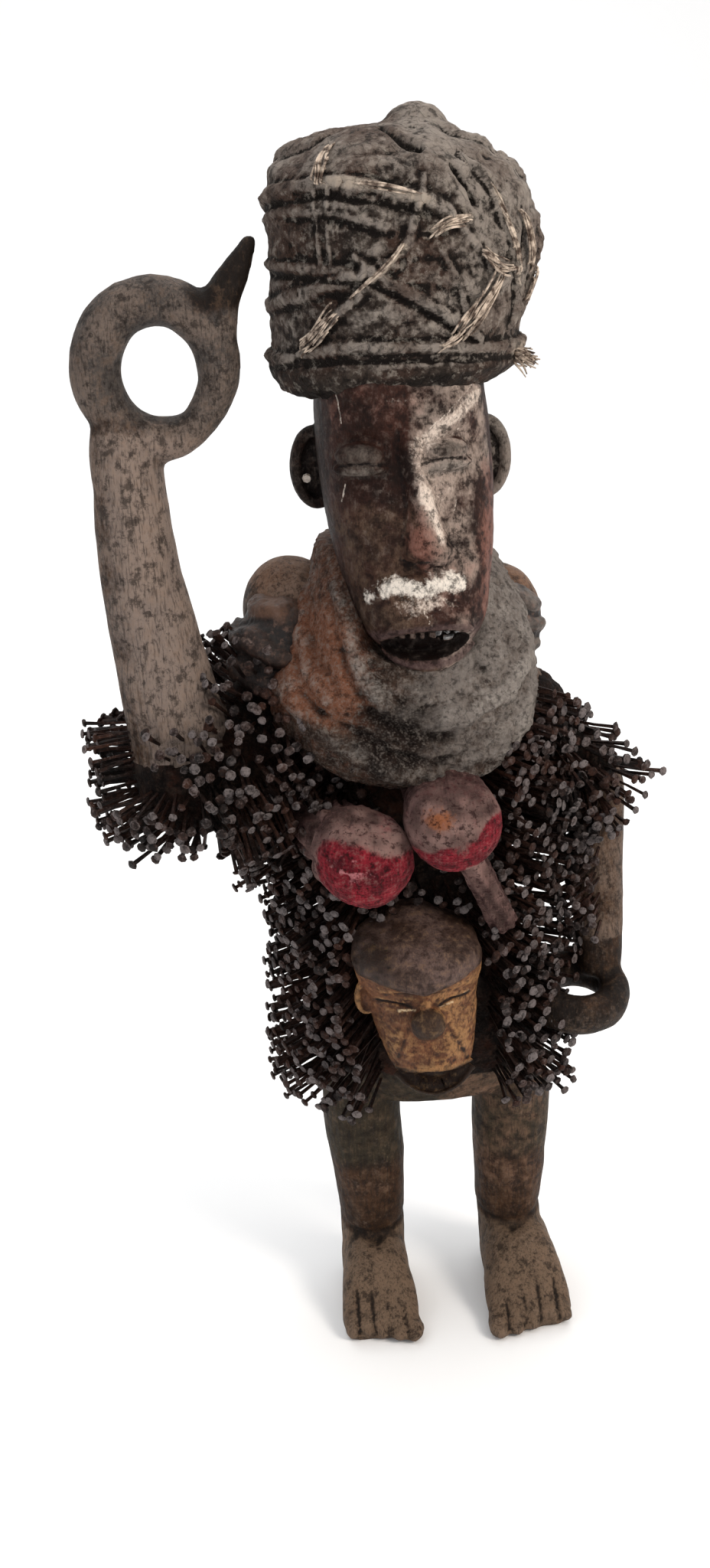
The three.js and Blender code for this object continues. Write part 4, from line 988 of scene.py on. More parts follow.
    # painted shade: black inside the mouth, in the eye slits, under and round the nose wings, in hollows,
    # down the nose's shaded flank, over the brow on the shaded side and under the chin; the sides of the head
    # beyond the cheeks are dark in their own colour
    dark = 1.3 * inside + 0.3 * slits + 0.6 * under + 0.55 * wing + 0.4 * ramp(low, 0.6, 0.95)
    dark = dark + 0.15 * hill(across + 8, 13) * (z > 690) * facing * shade
    dark = dark + 0.3 * ramp(-across, 25, 55) * (z > 735) * facing
    dark = dark + 0.5 * ramp(0.02 * (600 - z), 0.2, 0.7) * (z < 590)
    setMask(piece, "dark", dark + 0.5 * (x < -56) + 0.25 * (x > 60))
    return piece


carvedHead = carveHead()
print("head carved", len(carvedHead.data.polygons))


# Turban: resin-soaked cloth wound over the head and bound with plant-fibre cord
turban = {
    "x": 6, "y": -4, "rimZ": 763, "height": 174, "width": 194, "depth": 186, "knob": 46, "voxel": 1.7,
    "radius": 90,  # middling, to turn angles on the skin to mm
    "lean": [-0.035, -0.02, -0.02, -0.005, 0.005, 0.01, 0, -0.01, -0.02, 0, 0],
    "half": [0.405, 0.465, 0.45, 0.465, 0.475, 0.478, 0.472, 0.45, 0.39, 0.27, 0.06],
    "high": [0, 0.08, 0.18, 0.3, 0.42, 0.54, 0.67, 0.79, 0.89, 0.97, 1],
    # rolls of twisted cloth: height, half width, then places as (degrees round it, share of its height)
    "rolls": [
        (4.2, 4.6, [(-180, 0.6), (-110, 0.62), (-72, 0.675), (-53, 0.705), (-37, 0.72), (-12, 0.695),
                    (8, 0.65), (17, 0.6)]),
        (2.2, 3.0, [(-88, 0.6), (-60, 0.63), (-30, 0.62), (-10, 0.58)]),
        (3.2, 3.4, [(-150, 0.45), (-80, 0.465), (-54, 0.47), (-30, 0.46), (-18, 0.44)]),
        (3.8, 4.5, [(-140, 0.3), (-82, 0.335), (-60, 0.37), (-39, 0.41), (-18, 0.45), (-8, 0.47)]),
        (3.6, 4.0, [(-180, 0.17), (-110, 0.15), (-70, 0.16), (-30, 0.225), (2, 0.215), (40, 0.185),
                    (80, 0.16), (130, 0.17), (180, 0.17)]),
        (3.0, 3.0, [(-56, 0.19), (-41, 0.25), (-29, 0.34), (-16, 0.43), (-2, 0.525), (5, 0.64), (9, 0.72)]),
        (3.4, 3.0, [(-24, 0.5), (-18, 0.46), (2, 0.37), (25, 0.26), (34, 0.22)]),
        (3.8, 3.2, [(34, 0.78), (41, 0.66), (44, 0.575), (48, 0.515), (50, 0.45), (53, 0.395), (56, 0.24)]),
        (2.8, 5.0, [(96, 0.75), (86, 0.55), (70, 0.39), (60, 0.26)]),
        (2.0, 2.2, [(-41, 0.69), (-40, 0.6), (-40, 0.48)]),
        (1.9, 2.0, [(-34, 0.69), (-35, 0.6), (-35, 0.48)]),
        (2.0, 2.2, [(12, 0.5), (20, 0.4), (26, 0.28)]),
        (1.8, 2.0, [(22, 0.56), (34, 0.47), (42, 0.34)]),
        (3.0, 6.0, [(60, 0.86), (95, 0.68), (120, 0.5), (150, 0.42), (180, 0.4)]),
        (3.0, 6.0, [(-60, 0.88), (-100, 0.8), (-150, 0.78), (180, 0.8)]),
    ],
    # dark slits where the cloth gapes, cut in and painted as shade: depth, half width and places
    "gapes": [
        (6.0, 2.4, [(-19, 0.955), (1, 0.87), (11, 0.82)]),
        (6.0, 2.0, [(24, 0.75), (27, 0.69), (30, 0.635)]),
        (3.5, 1.6, [(58, 0.55), (55, 0.47), (57, 0.36)]),
        (2.5, 1.4, [(-18, 0.42), (2, 0.335), (24, 0.235)]),
        (2.5, 1.5, [(-84, 0.43), (-52, 0.435), (-24, 0.42)]),
        (2.2, 1.3, [(-70, 0.645), (-37, 0.67), (-10, 0.645), (8, 0.6)]),
        (1.4, 1.6, [(-90, 0.11), (-30, 0.17), (2, 0.165), (40, 0.14), (80, 0.11)]),
    ],
    # pale bare fibres: places, strands and spread in mm
    "strands": [
        ([(20, 0.22), (29, 0.31), (41, 0.43)], 16, 12.0),
        ([(12, 0.2), (24, 0.255)], 9, 6.0),
        ([(-54, 0.2), (-42, 0.26), (-31, 0.34)], 14, 10.0),
        ([(-40, 0.86), (-37, 0.77), (-38, 0.71)], 12, 9.0),
        ([(39, 0.71), (43, 0.6), (48, 0.5), (52, 0.4)], 10, 5.0),
        ([(56, 0.6), (59, 0.48), (60, 0.4)], 8, 5.0),
        ([(6, 0.55), (16, 0.585), (27, 0.59)], 10, 6.0),
        ([(30, 0.5), (40, 0.44), (52, 0.43)], 7, 9.0),
        ([(-26, 0.37), (-14, 0.45), (-3, 0.54)], 6, 3.0),
        ([(-36, 0.72), (-12, 0.7), (8, 0.66)], 7, 3.5),
        ([(70, 0.42), (60, 0.3)], 6, 8.0),
        ([(150, 0.75), (165, 0.4)], 6, 6.0),
    ],
    # folds painted pale along their crests, as rubbed cloth and as highlights: places and half width
    "rubbed": [
        ([(-36, 0.72), (-12, 0.695), (8, 0.65)], 4.0),
        ([(6, 0.55), (16, 0.58), (27, 0.59)], 3.5),
        ([(41, 0.66), (48, 0.515), (53, 0.395)], 3),
        ([(-16, 0.43), (-4, 0.52)], 2.5),
        ([(60, 0.14), (75, 0.14)], 5),
    ],
    # cloth in deep shade between the rolls at the front: place, reach in mm and strength
    "shaded": [
        ((-24, 0.57), 15, 0.9), ((-50, 0.56), 14, 0.6), ((-4, 0.6), 9, 0.8), ((-40, 0.3), 12, 0.5),
        ((14, 0.47), 12, 0.6),
    ],
}


def turbanPoint(share, angle):
    share, angle = np.broadcast_arrays(np.asarray(share, float), np.asarray(angle, float))
    half = smooth(turban["half"], share)
    lean = smooth(turban["lean"], share) * turban["width"]
    uneven = 1 + 0.018 * np.sin(3 * angle + 7 * share) + 0.012 * np.sin(5 * angle - 9 * share)
    # its top slopes down to the left of the figure, and its rim rises there
    right = np.maximum(np.sin(angle), 0)
    slope = 5 * right * hill(share, 0.12) - 8 * right * hill(share - 0.88, 0.17)
    return np.stack([
        turban["x"] + lean + np.sin(angle) * half * turban["width"] * uneven,
        turban["y"] - np.cos(angle) * half * turban["depth"] * uneven,
        turban["rimZ"] + turban["height"] * smooth(turban["high"], share) + slope,
    ], -1)


def turbanPlace(points):
    # angle round the turban and share of its height for points on its skin
    up = (points[:, 2] - turban["rimZ"]) / turban["height"]
    share = np.interp(up, turban["high"], np.linspace(0, 1, len(turban["high"])))
    aside = points[:, 0] - turban["x"] - smooth(turban["lean"], share) * turban["width"]
    return np.arctan2(aside / turban["width"], (turban["y"] - points[:, 1]) / turban["depth"]), share


def offStroke(angle, share, stroke):
    # distance in mm on the turban's skin to a stroke of (degrees, share) places, and how far along it
    around, up = turban["radius"], turban["height"]
    best = np.full(len(angle), 1e3)
    along = np.zeros(len(angle))
    travelled = 0.0
    path = [(math.radians(a), s) for a, s in stroke]
    for (a0, s0), (a1, s1) in zip(path, path[1:]):
        turn = (a1 - a0 + math.pi) % (2 * math.pi) - math.pi
        wayX, wayY = turn * around, (s1 - s0) * up
        size = math.hypot(wayX, wayY)
        offX = ((angle - a0 + math.pi) % (2 * math.pi) - math.pi) * around
        offY = (share - s0) * up
        t = np.clip((offX * wayX + offY * wayY) / size ** 2, 0, 1)
        gap = np.hypot(offX - t * wayX, offY - t * wayY)
        nearer = gap < best
        best = np.where(nearer, gap, best)
        along = np.where(nearer, travelled + t * size, along)
        travelled += size
    return best, along


# Bark cloth stiffened with resin and smoke: matt, grey with dust on its folds, with painted light on its
# crests and painted shade nearly black in its gaps
def resinCloth(name, look):
    material, tree, shader = newMaterial(name, {
        "IOR": 1.5, "Specular IOR Level": 0.1,
        "Sheen Weight": 0.08, "Sheen Roughness": 0.6, "Sheen Tint": "#a89a8e",
    })
    place = stretched(tree, 1, 1, 1)
    base = mottled(tree, place, look["dark"], look["light"], 22)
    colour = layeredColour(tree, place, base, look["layers"])
    colour, dirt = weathered(tree, place, colour, 8, "#0f0a08", "#a59b90", 0.75, 0.45)
    # threads about 0.8 mm apart, drawn at 1.6 mm so that they show
    weave = addNode(tree, "TexWave", {
        "Vector": place, "Scale": waveScale(1.6), "Distortion": 5.0, "Detail": 3.0, "Detail Scale": 1.5,
    }, bands_direction="Z")
    tree.links.new(colour, shader.inputs["Base Color"])
    # cracks about 9 mm apart
    cracks = addNode(tree, "TexVoronoi", {"Vector": place, "Scale": 1000 / 9.0}, feature="DISTANCE_TO_EDGE")
    gaping = addNode(tree, "MapRange", {"Value": cracks.outputs["Distance"], "From Max": 0.06})
    reliefs = [(weave.outputs["Fac"], 0.1), (dirt, 3.2), (gaping.outputs[0], 0.5)]
    roughBump(tree, shader, reliefs, (dirt, 0.7, 0.95))
    return material


turbanCloth = resinCloth("resinStiffBarkCloth", {
    "dark": "#211915", "light": "#433a34",
    "layers": [
        ("dust", "#958b82", 4, 0.36, 0.82),
        ("brown", "#3f2a21", 9, 0.35, 0.75),
        ("pale", "#b3a596", 2.5, 0.22, 0.8),
        ("gap", "#0a0605", 3, 0.25, 0.96),
    ],
})

# Raffia cord rubbed bare of its resin: dry, pale tan, each strand catching the light
fibreCord, fibreTree, fibreShader = newMaterial("dryRaffiaFibre", {
    "IOR": 1.5, "Roughness": 0.75, "Specular IOR Level": 0.3,
})
fibrePlace = stretched(fibreTree, 1, 1, 1)
fibreTone = mottled(fibreTree, fibrePlace, "#4a3a30", "#cdbba9", 6, 0.4, 0.62)
fibreTree.links.new(fibreTone, fibreShader.inputs["Base Color"])
fibreRidge = addNode(fibreTree, "TexNoise", {"Vector": fibrePlace, "Scale": 1000 / 0.8, "Detail": 3.0})
fibreBump = addNode(fibreTree, "Bump", {"Height": fibreRidge.outputs["Fac"], "Distance": 0.0004})
fibreTree.links.new(fibreBump.outputs[0], fibreShader.inputs["Normal"])


def windTurban():
    knob, x, y = turban["knob"], turban["x"], turban["y"]
    top = turban["rimZ"] + turban["height"]
    # the winding, the knob and the swell below it
    forms = [
        tubeForm(turbanPoint(np.linspace(0, 1, 90)[:, None], -fullTurn(120))),
        ballForm((x + 16, y + 12, top - knob * 0.14), (knob * 0.49, knob * 0.49, knob * 0.41)),
        ballForm((x + 12, y + 6, top - 16), (knob * 0.8, knob * 0.85, knob * 0.42)),
    ]
    piece = carvedTogether("boundTurban", forms, turban["voxel"], turbanCloth, rounds=6)
    points, out = readPoints(piece), normalsOf(piece)
    angle, share = turbanPlace(points)
    depth = 1.6 * lumps(points, 30, 4, 2)
    pale, crest, gap = 0, 0, 0
    wobble = 2.2 * lumps(points, 14, 8, 2)
    for height, width, stroke in turban["rolls"]:
        off, along = offStroke(angle, share, stroke)
        size = width * (1 + 0.3 * lumps(points, 13, 15))
        roll = np.sqrt(np.clip(1 - ((off + wobble) / size) ** 2, 0, 1))
        twist = 1 + 0.2 * np.sin((along + 0.8 * off) * 2 * math.pi / 7) + 0.2 * lumps(points, 5, 33)
        depth = np.maximum(depth, 0.35 * depth + height * roll * twist)
        depth -= 0.9 * hill(np.abs(off) - size * 1.2, 1.5)
        crest = np.maximum(crest, ramp(roll, 0.75, 1))
    for depthMm, width, stroke in turban["gapes"]:
        off, _ = offStroke(angle, share, stroke)
        slit = hill(off + 0.6 * wobble, width)
        depth -= depthMm * slit
        gap = np.maximum(gap, slit)
    # soft folds that fan out from the knob
    fan = np.arctan2(points[:, 0] - 20, -(points[:, 1] - 8))
    reach = ramp(share, 0.5, 0.8) * ramp(1 - share, 0, 0.1)
    depth += 1.5 * reach * np.sin(9 * fan + 2.5 * lumps(points, 40, 2))
    depth += 0.5 * lumps(points, 5, 11) + 0.3 * lumps(points, 2.6, 3)
    folds = np.sin(share * 60 + 5 * lumps(points, 36, 31) + 1.5 * np.sin(2 * angle))
    depth += 0.8 * folds * ramp(share, 0.2, 0.3) * ramp(0.95 - share, 0, 0.2)
    # fine wrinkles all over, as in crumpled cloth
    creased = 1 - 2 * np.abs(lumps(points * (1, 1, 1.5), 11, 61, 2))
    depth += 0.5 * creased + 0.3 * (1 - 2 * np.abs(lumps(points, 5.5, 62)))
    # frayed lower edge
    depth += 2.0 * lumps(points, 7, 44, 2) * ramp(0.07 - share, 0, 0.06)
    points = points + out * depth[:, None]
    points[:, 2] -= 3.0 * np.maximum(lumps(points, 9, 51), 0) * ramp(0.03 - share, 0, 0.03)
    writePoints(piece, points)
    evened(piece, 1, 0.3)
    low = hollows(piece, 0.6)
    patches = lumps(points, 28, 6, 2)
    side = np.sin(angle) * np.cos(angle / 2) ** 2
    # dust on the upward faces and crests, more on the figure's left side towards the light and less in
    # hollows: dust with painted light and shade
    dustAndLight = 0.3 + 0.45 * ramp(out[:, 2], 0.1, 0.9) + 0.25 * patches + 0.2 * crest
    dustAndLight = dustAndLight - 0.8 * ramp(0.15 - share, 0, 0.03)
    setMask(piece, "dust", dustAndLight + 0.45 * ramp(side, 0.1, 0.6) - 0.6 * (low - 0.5) + 0.2 * creased - 0.1)
    setMask(piece, "brown", 0.4 + 0.5 * lumps(points, 24, 19) + 0.2 * (angle < -0.9))
    # pale folds and crests: rubbed cloth, and painted highlights along the crests of the rolls
    for stroke, width in turban["rubbed"]:
        pale = np.maximum(pale, hill(offStroke(angle, share, stroke)[0], width))
    setMask(piece, "pale", 0.6 * pale + 0.15 * crest + 0.15 * lumps(points, 9, 71) + 0.1 * creased)
    sunk = 0
    for (degrees, up), size, strong in turban["shaded"]:
        offX, offY = (angle - math.radians(degrees)) * turban["radius"], (share - up) * turban["height"]
        sunk = sunk + strong * hill(np.hypot(offX, offY), size)
    sunk = sunk * (1 - crest) * (np.abs(angle) < 1.5)
    rim = ramp(0.13 - share, 0, 0.03) * (1 + 0.5 * lumps(points, 10, 5))
    # painted shade: near black in the gaping slits, in hollows and between the front rolls, and darker along
    # the lower edge
    setMask(piece, "gap", 0.95 * gap + 0.85 * ramp(low, 0.64, 1.0) + 0.6 * rim + 0.5 * sunk)
    return piece


def layStrands():
    # bare fibres, each a thin tube laid over the cloth, and a frayed tuft at the rim
    random = np.random.default_rng(7)
    skinSize = np.array([turban["radius"], turban["height"]])
    forms = []
    for stroke, count, spread in turban["strands"]:
        path = np.array([(math.radians(a), s) for a, s in stroke])
        for _ in range(count):
            sideways = random.uniform(-0.5, 0.5) * spread
            start, stop = sorted(random.uniform(0, 1, 2) * (0.45, 0.45) + (0, 0.55))
            t = np.linspace(start, stop, 14)
            places = smooth(path, t)
            way = unit(np.gradient(places * skinSize, axis=0))
            bend = spread * 0.12 * np.sin(t * random.uniform(4, 9) + random.uniform(0, 6))
            places = places + (np.stack([way[:, 1], -way[:, 0]], -1) * (sideways + bend)[:, None]) / skinSize
            skin = turbanPoint(places[:, 1], places[:, 0])
            centre = turbanPoint(places[:, 1], places[:, 0] + math.pi)
            lift = 2.6 + random.uniform(0, 2.2) + 1.2 * np.sin(t * math.pi)
            # both ends dip towards the cloth
            ends = (t == t[0]) | (t == t[-1])
            spots = skin + unit(skin - centre) * (lift - 1.5 * ends)[:, None]
            thick = random.uniform(0.45, 0.85)
            stations = [station(p, thick) for p in spots]
            forms.append(limbForm({"side": (0.3, 0.2, 1.0), "stations": stations}, 6, 30))
    for _ in range(34):
        a, s = math.radians(random.uniform(60, 80)), random.uniform(0.08, 0.15)
        root = turbanPoint(s, a)
        way = unit(np.array([0.75, -0.35, -0.35]) + random.uniform(-0.45, 0.45, 3))
        tip = root + way * random.uniform(7, 15)
        middle = (root + tip) / 2 + random.uniform(-1.5, 1.5, 3)
        thick = random.uniform(0.5, 1.0)
        stations = [station(root, thick), station(middle, thick), station(tip, thick * 0.5)]
        forms.append(limbForm({"side": (0.3, 0.2, 1.0), "stations": stations}, 6, 8))
    return makeMesh("turbanStrands", *joinForms(forms), fibreCord)


boundTurban = windTurban()
turbanStrands = layStrands()
print("turban wound", len(boundTurban.data.polygons), len(turbanStrands.data.polygons))


# Collar: a bib of resin, earth and folded hide, with two rolls across it and a third beside them
collar = {
    "width": 200, "drop": 172, "depth": 165, "hem": 13, "topZ": 652,
    # rolls as seen from the front: height, half width and (x, z) places in mm
    "rolls": [
        (5.0, 6.5, [(-52, 628), (-46, 590), (-40, 573), (-21, 552), (6, 541), (32, 543), (63, 553),
                    (84, 575)]),
        (5.0, 7.0, [(-104, 580), (-96, 562), (-79, 541), (-47, 520), (-18, 500), (3, 494), (26, 489),
                    (49, 486), (70, 505), (84, 540)]),
        (4.0, 5.0, [(-92, 622), (-93, 598), (-84, 575), (-66, 560)]),
    ],
    # furrows between the rolls: depth, half width and places
    "creases": [
        (5.5, 3.4, [(-58, 628), (-54, 600), (-50, 575), (-34, 548), (-8, 530), (20, 528)]),
        (4.5, 3.0, [(-86, 624), (-86, 600), (-80, 583), (-62, 570)]),
        (4.0, 3.0, [(-88, 563), (-70, 548), (-44, 534), (-16, 515), (8, 507)]),
        (3.0, 2.6, [(30, 610), (40, 580), (52, 560)]),
    ],
}


def collarLimb():
    w, d, top, drop = collar["width"], collar["depth"], collar["topZ"], collar["drop"]
    # x, y, share of the drop, and shares of the width and the depth, from the hem up
    shape = [
        (0, -58, 1, 0.16, 0.12), (-2, -50, 0.92, 0.32, 0.3), (-6, -36, 0.78, 0.44, 0.42),
        (-9, -22, 0.58, 0.5, 0.5), (-9, -12, 0.36, 0.48, 0.5), (-7, -4, 0.16, 0.4, 0.42),
        (-4, 2, 0, 0.29, 0.32),
    ]
    return {"level": True, "boxy": 2.2, "stations": [
        [x, y, top - drop * down, w * wide, d * deep] for x, y, down, wide, deep in shape
    ]}


def offLine(x, z, line):
    # distance in mm to a line of (x, z) places, seen from the front
    best = np.full(x.shape, 1e3)
    for (x0, z0), (x1, z1) in zip(line, line[1:]):
        wayX, wayZ = x1 - x0, z1 - z0
        t = np.clip(((x - x0) * wayX + (z - z0) * wayZ) / (wayX ** 2 + wayZ ** 2), 0, 1)
        best = np.minimum(best, np.hypot(x - x0 - t * wayX, z - z0 - t * wayZ))
    return best


# Resin, earth and ash kneaded together and dried: matt, granular and cracked, with old hide showing through
def driedResin(name, look):
    material, tree, shader = newMaterial(name, {"IOR": 1.5, "Specular IOR Level": look["shine"]})
    place = stretched(tree, 1, 1, 1)
    base = mottled(tree, place, look["dark"], look["light"], 16)
    colour = layeredColour(tree, place, base, look["layers"])
    # grit of 2 to 2.6 mm, paler on its tops
    grit = addNode(tree, "TexVoronoi", {"Vector": place, "Scale": 1000 / look["grit"], "Randomness": 1.0})
    tops = addNode(tree, "MapRange", {
        "Value": grit.outputs["Distance"], "From Min": 0.05, "From Max": 0.55,
        "To Min": look["gritTone"], "To Max": 0.0,
    })
    gritty = addNode(tree, "Mix", {0: tops.outputs[0], 6: colour, 7: look["gritColour"]}, data_type="RGBA")
    colour, crumbs = weathered(tree, place, gritty.outputs[2], 5, look["pit"], look["gritColour"], 0.6, 0.5)
    tree.links.new(colour, shader.inputs["Base Color"])
    dome = addNode(tree, "Math", {0: 1.0, 1: grit.outputs["Distance"]}, operation="SUBTRACT")
    reliefs = [(crumbs, look["crumb"]), (dome.outputs[0], look["gritDepth"])]
    roughBump(tree, shader, reliefs, (crumbs, *look["roughness"]))
    return material


collarResin = driedResin("driedResinAndEarth", {
    "dark": "#251914", "light": "#4a3b32", "pit": "#0f0806", "grit": 2.0, "gritTone": 0.3,
    "gritColour": "#857b73", "gritDepth": 0.6, "crumb": 3.0, "roughness": (0.75, 0.98), "shine": 0.12,
    "layers": [
        ("ochre", "#7a4f3b", 7, 0.32, 0.92),
        ("ash", "#837b75", 6, 0.34, 0.85),
        ("pale", "#a8a098", 3, 0.25, 0.6),
        ("dark", "#120a07", 5, 0.3, 0.92),
    ],
})


def shapeCollar():
    limb = collarLimb()
    t = np.linspace(0, 1, 172)[:, None]
    angle = fullTurn(262)
    points, out = limbSkin(limb, t, angle)
    aside = np.abs(np.sin((angle + math.pi / 2) / 2)) + 0 * t
    back = ramp(aside, 0.45, 0.7)
    hem = hill(t - (0.14 + 0.4 * aside), 0.07) + 0.8 * hill(t - (0.43 + 0.4 * aside), 0.07)
    depth = collar["hem"] * 0.55 * hem * hill(aside, 0.75) * (0.35 + 0.65 * back)
    x, z = points[..., 0], points[..., 2]
    front = ramp(-points[..., 1], -10, 30) * (1 - back)
    wander = 4.0 * lumps(points, 14, 5, 2)
    broken = 0.55 + 0.45 * lumps(points, 11, 41)
    crest, crease = 0, 0
    for height, width, line in collar["rolls"]:
        off = (offLine(x, z, line) + wander) / (width * 1.25)
        roll = np.sqrt(np.clip(1 - off ** 2, 0, 1)) * front
        depth = depth + height * roll * 0.8
        crest = np.maximum(crest, roll)
    for deep, width, line in collar["creases"]:
        cut = hill(offLine(x, z, line) + 0.7 * wander, width) * front * broken
        depth = depth - deep * cut
        crease = np.maximum(crease, cut)
    smoothFlap = ramp(-x, 50, 62) * ramp(z, 560, 580) * front
    # the shoulder and its hide come out from behind the collar at the upper right of the figure
    depth = depth - 13 * ramp(-x, 58, 84) * ramp(z, 552, 582)
    # and it gives way to the open mouth
    depth = depth - 30 * ramp(1.2 - np.hypot((x - 4) / 40, (z - 600) / 19), 0, 0.3) * (points[..., 1] < -30)
    rough = 1 - 0.7 * smoothFlap
    near, second = grains(points, 6.5, 3)
    fineNear, _ = grains(points, 3.4, 9)
    knobs = 1 - 2 * np.abs(lumps(points, 9, 13, 2))
    grainy = 1.7 * (0.6 - near) + 1.1 * (0.5 - fineNear) + 1.0 * knobs
    depth = depth + rough * (2.4 * lumps(points, 15, 2, 2) + 0.8 * lumps(points, 3.4, 8) + grainy)
    depth = depth - rough * 1.4 * hill(second - near, 0.07) * ramp(lumps(points, 30, 77), -0.1, 0.4)
    wrinkles = 1 - 2 * np.abs(lumps(points * (0.55, 1, 1.5), 11, 33, 2))
    depth = depth + rough * 1.5 * wrinkles * front
    form = points + out * depth[..., None]
    piece = makeMesh("resinCollar", *tubeForm(form), collarResin)
    patches = lumps(points, 30, 4, 2)
    flap = ramp(-x, 26, 60) * ramp(z, 528, 556) * (1 - 0.55 * ramp(z, 600, 625))
    grey = ramp(x, -45, 25)
    ash = 0.02 + 0.56 * grey * ramp(z, 485, 515) + 0.4 * ramp(-x, 40, 55) * ramp(z, 605, 625) - 0.3 * flap
    # painted shade deep under the rolls and in the furrows between them; darker between the grains and in the
    # troughs of the knobs and wrinkles
    under = ovalPatch(x, z, (-22, 545), (30, 24)) * front + 0.8 * ovalPatch(x, z, (-30, 510), (36, 16))
    pits = 0.5 * ramp(near, 0.62, 0.9) + 0.3 * ramp(-knobs, 0.1, 0.8) + 0.35 * ramp(-wrinkles, 0.0, 0.7)
    dark = 0.7 * crease + pits * rough + 0.95 * under * broken + 0.15 * patches
    setTubeMasks(piece, x.shape, {
        "ochre": 0.12 + 0.68 * flap + 0.2 * (1 - grey) + 0.25 * patches - 0.15 * crest,
        "ash": ash + 0.2 * crest + 0.3 * patches + 0.2 * back + 0.15 * knobs,
        "pale": 0.12 + 0.25 * crest + 0.3 * lumps(points, 10, 12) + 0.2 * ramp(x, 20, 60),
        # painted shade over the middle of the front, below the chin
        "dark": dark + 0.3 * ovalPatch(x, z, (-5, 525), (45, 26)) * front,
    })
    return piece


resinCollar = shapeCollar()
print("collar shaped", len(resinCollar.data.polygons))


# Hides packed round the shoulders: a stack of stiff glossy folds on the right, a granular lump on the left
hides = {
    "right": {"centre": (-99, -20, 574.4), "size": (35, 33, 42), "fold": 0.13, "pitch": 5.0},
    "left": {"centre": (79, -12, 582.2), "size": (23, 22, 27.5), "fold": 0.1, "pitch": 3.4},
}
foldedHide = driedResin("foldedOiledHide", {
    "dark": "#170d0a", "light": "#352219", "pit": "#090404", "grit": 2.6, "gritTone": 0.12,
    "gritColour": "#75594c", "gritDepth": 0.2, "crumb": 1.2, "roughness": (0.3, 0.7), "shine": 0.35,
    "layers": [
        ("ochre", "#7a5844", 9, 0.3, 0.85),
        ("ash", "#7a716a", 6, 0.35, 0.75),
        ("pale", "#b09488", 2, 0.2, 0.6),
        ("dark", "#080303", 5, 0.3, 0.95),
    ],
})


def foldHide(name, look, seed):
    centre, size = np.array(look["centre"], float), np.array(look["size"], float)
    way = ballWays(110, 94)
    spot = way * size
    sway = 2.2 * lumps(spot + centre, 24, seed, 2) + 0.4 * spot[..., 0] / look["pitch"]
    wave = np.sin(spot[..., 2] / look["pitch"] + sway)
    fold = np.sign(wave) * np.abs(wave) ** 0.6
    swell = 1 + look["fold"] * fold * (0.75 + 0.25 * lumps(spot, 14, seed + 2))
    swell = swell + 0.09 * lumps(spot, 20, seed + 4, 2)
    points = centre + spot * swell[..., None] + way * (0.8 * lumps(spot, 3.2, seed))[..., None]
    piece = makeMesh(name, *tubeForm(points), foldedHide)
    patches = lumps(spot, 18, seed + 6, 2)
    upward = way[..., 2]
    # the left one is grey with ash, the right one dark and oily with a worn top
    ashy = 1.0 if centre[0] > 0 else 0.0
    setTubeMasks(piece, upward.shape, {
        "ochre": 0.1 + 0.3 * patches + 0.45 * ramp(upward, 0.45, 0.85) * (1 - ashy),
        "ash": 0.55 * ashy + 0.25 * patches,
        # pale on the crests of the folds: painted highlights; dark in their troughs: painted shade, less so
        # on top
        "pale": 0.5 * ramp(wave, 0.8, 1.0) * ramp(lumps(spot, 9, seed + 3), -0.2, 0.6),
        "dark": 0.9 * ramp(-wave, 0.2, 0.9) * (1 - 0.6 * ramp(upward, 0.5, 0.9)) + 0.42 * (1 - ashy),
    })
    return piece


hideRight = foldHide("shoulderHideRight", hides["right"], 5)
hideLeft = foldHide("shoulderHideLeft", hides["left"], 8)


# Bundles of medicine tied up in red trade cloth, their tops dusted with earth
bundles = {
    "across": 66, "reach": 105,
    -1: {"root": (-76.95, -45.9, 446.1), "way": (0.4, -0.91, -0.05)},
    1: {"root": (8.06, -44.0, 477.7), "way": (0.12, -0.98, -0.14)},
}


def redCotton(name):
    # plain-woven cotton dyed crimson: a soft nap with a grazing sheen, greyed where dust sits in the weave
    material, tree, shader = newMaterial(name, {
        "IOR": 1.5, "Roughness": 0.9, "Specular IOR Level": 0.1,
        "Sheen Weight": 0.12, "Sheen Roughness": 0.5, "Sheen Tint": "#c98a8a",
    })
    place = stretched(tree, 1, 1, 1)
    base = mottled(tree, place, "#4c0c16", "#8a1f2c", 13)
    # threads about 0.6 mm apart, drawn at 1.3 mm so that they show
    weft, warp = [addNode(tree, "TexWave", {
        "Vector": place, "Scale": waveScale(1.3), "Distortion": 1.5, "Detail": 1.0,
    }, bands_direction=way) for way in ("X", "Z")]
    thread = addNode(tree, "Math", {0: weft.outputs["Fac"], 1: warp.outputs["Fac"]}, operation="ADD")
    shade = addNode(tree, "MapRange", {
        "Value": thread.outputs[0], "From Max": 2.0, "To Min": 0.35, "To Max": 0.0,
    })
    base = addNode(tree, "Mix", {0: shade.outputs[0], 6: base, 7: "#2c0810"}, data_type="RGBA").outputs[2]
    colour = layeredColour(tree, place, base, [
        ("dust", "#7f6861", 4, 0.34, 0.9),
        ("sootAndShade", "#2a201d", 5, 0.35, 0.9),
        ("ochre", "#8a4f2a", 4, 0.25, 0.8),
        ("thread", "#c9878a", 1.5, 0.2, 0.6),
    ])
    colour, crumbs = weathered(tree, place, colour, 5, "#1c0a0a", "#94706a", 0.85, 0.3)
    tree.links.new(colour, shader.inputs["Base Color"])
    roughBump(tree, shader, [(thread.outputs[0], 0.2), (crumbs, 1.8)], (crumbs, 0.8, 0.98))
    return material


crimsonCotton = redCotton("wovenCrimsonCotton")


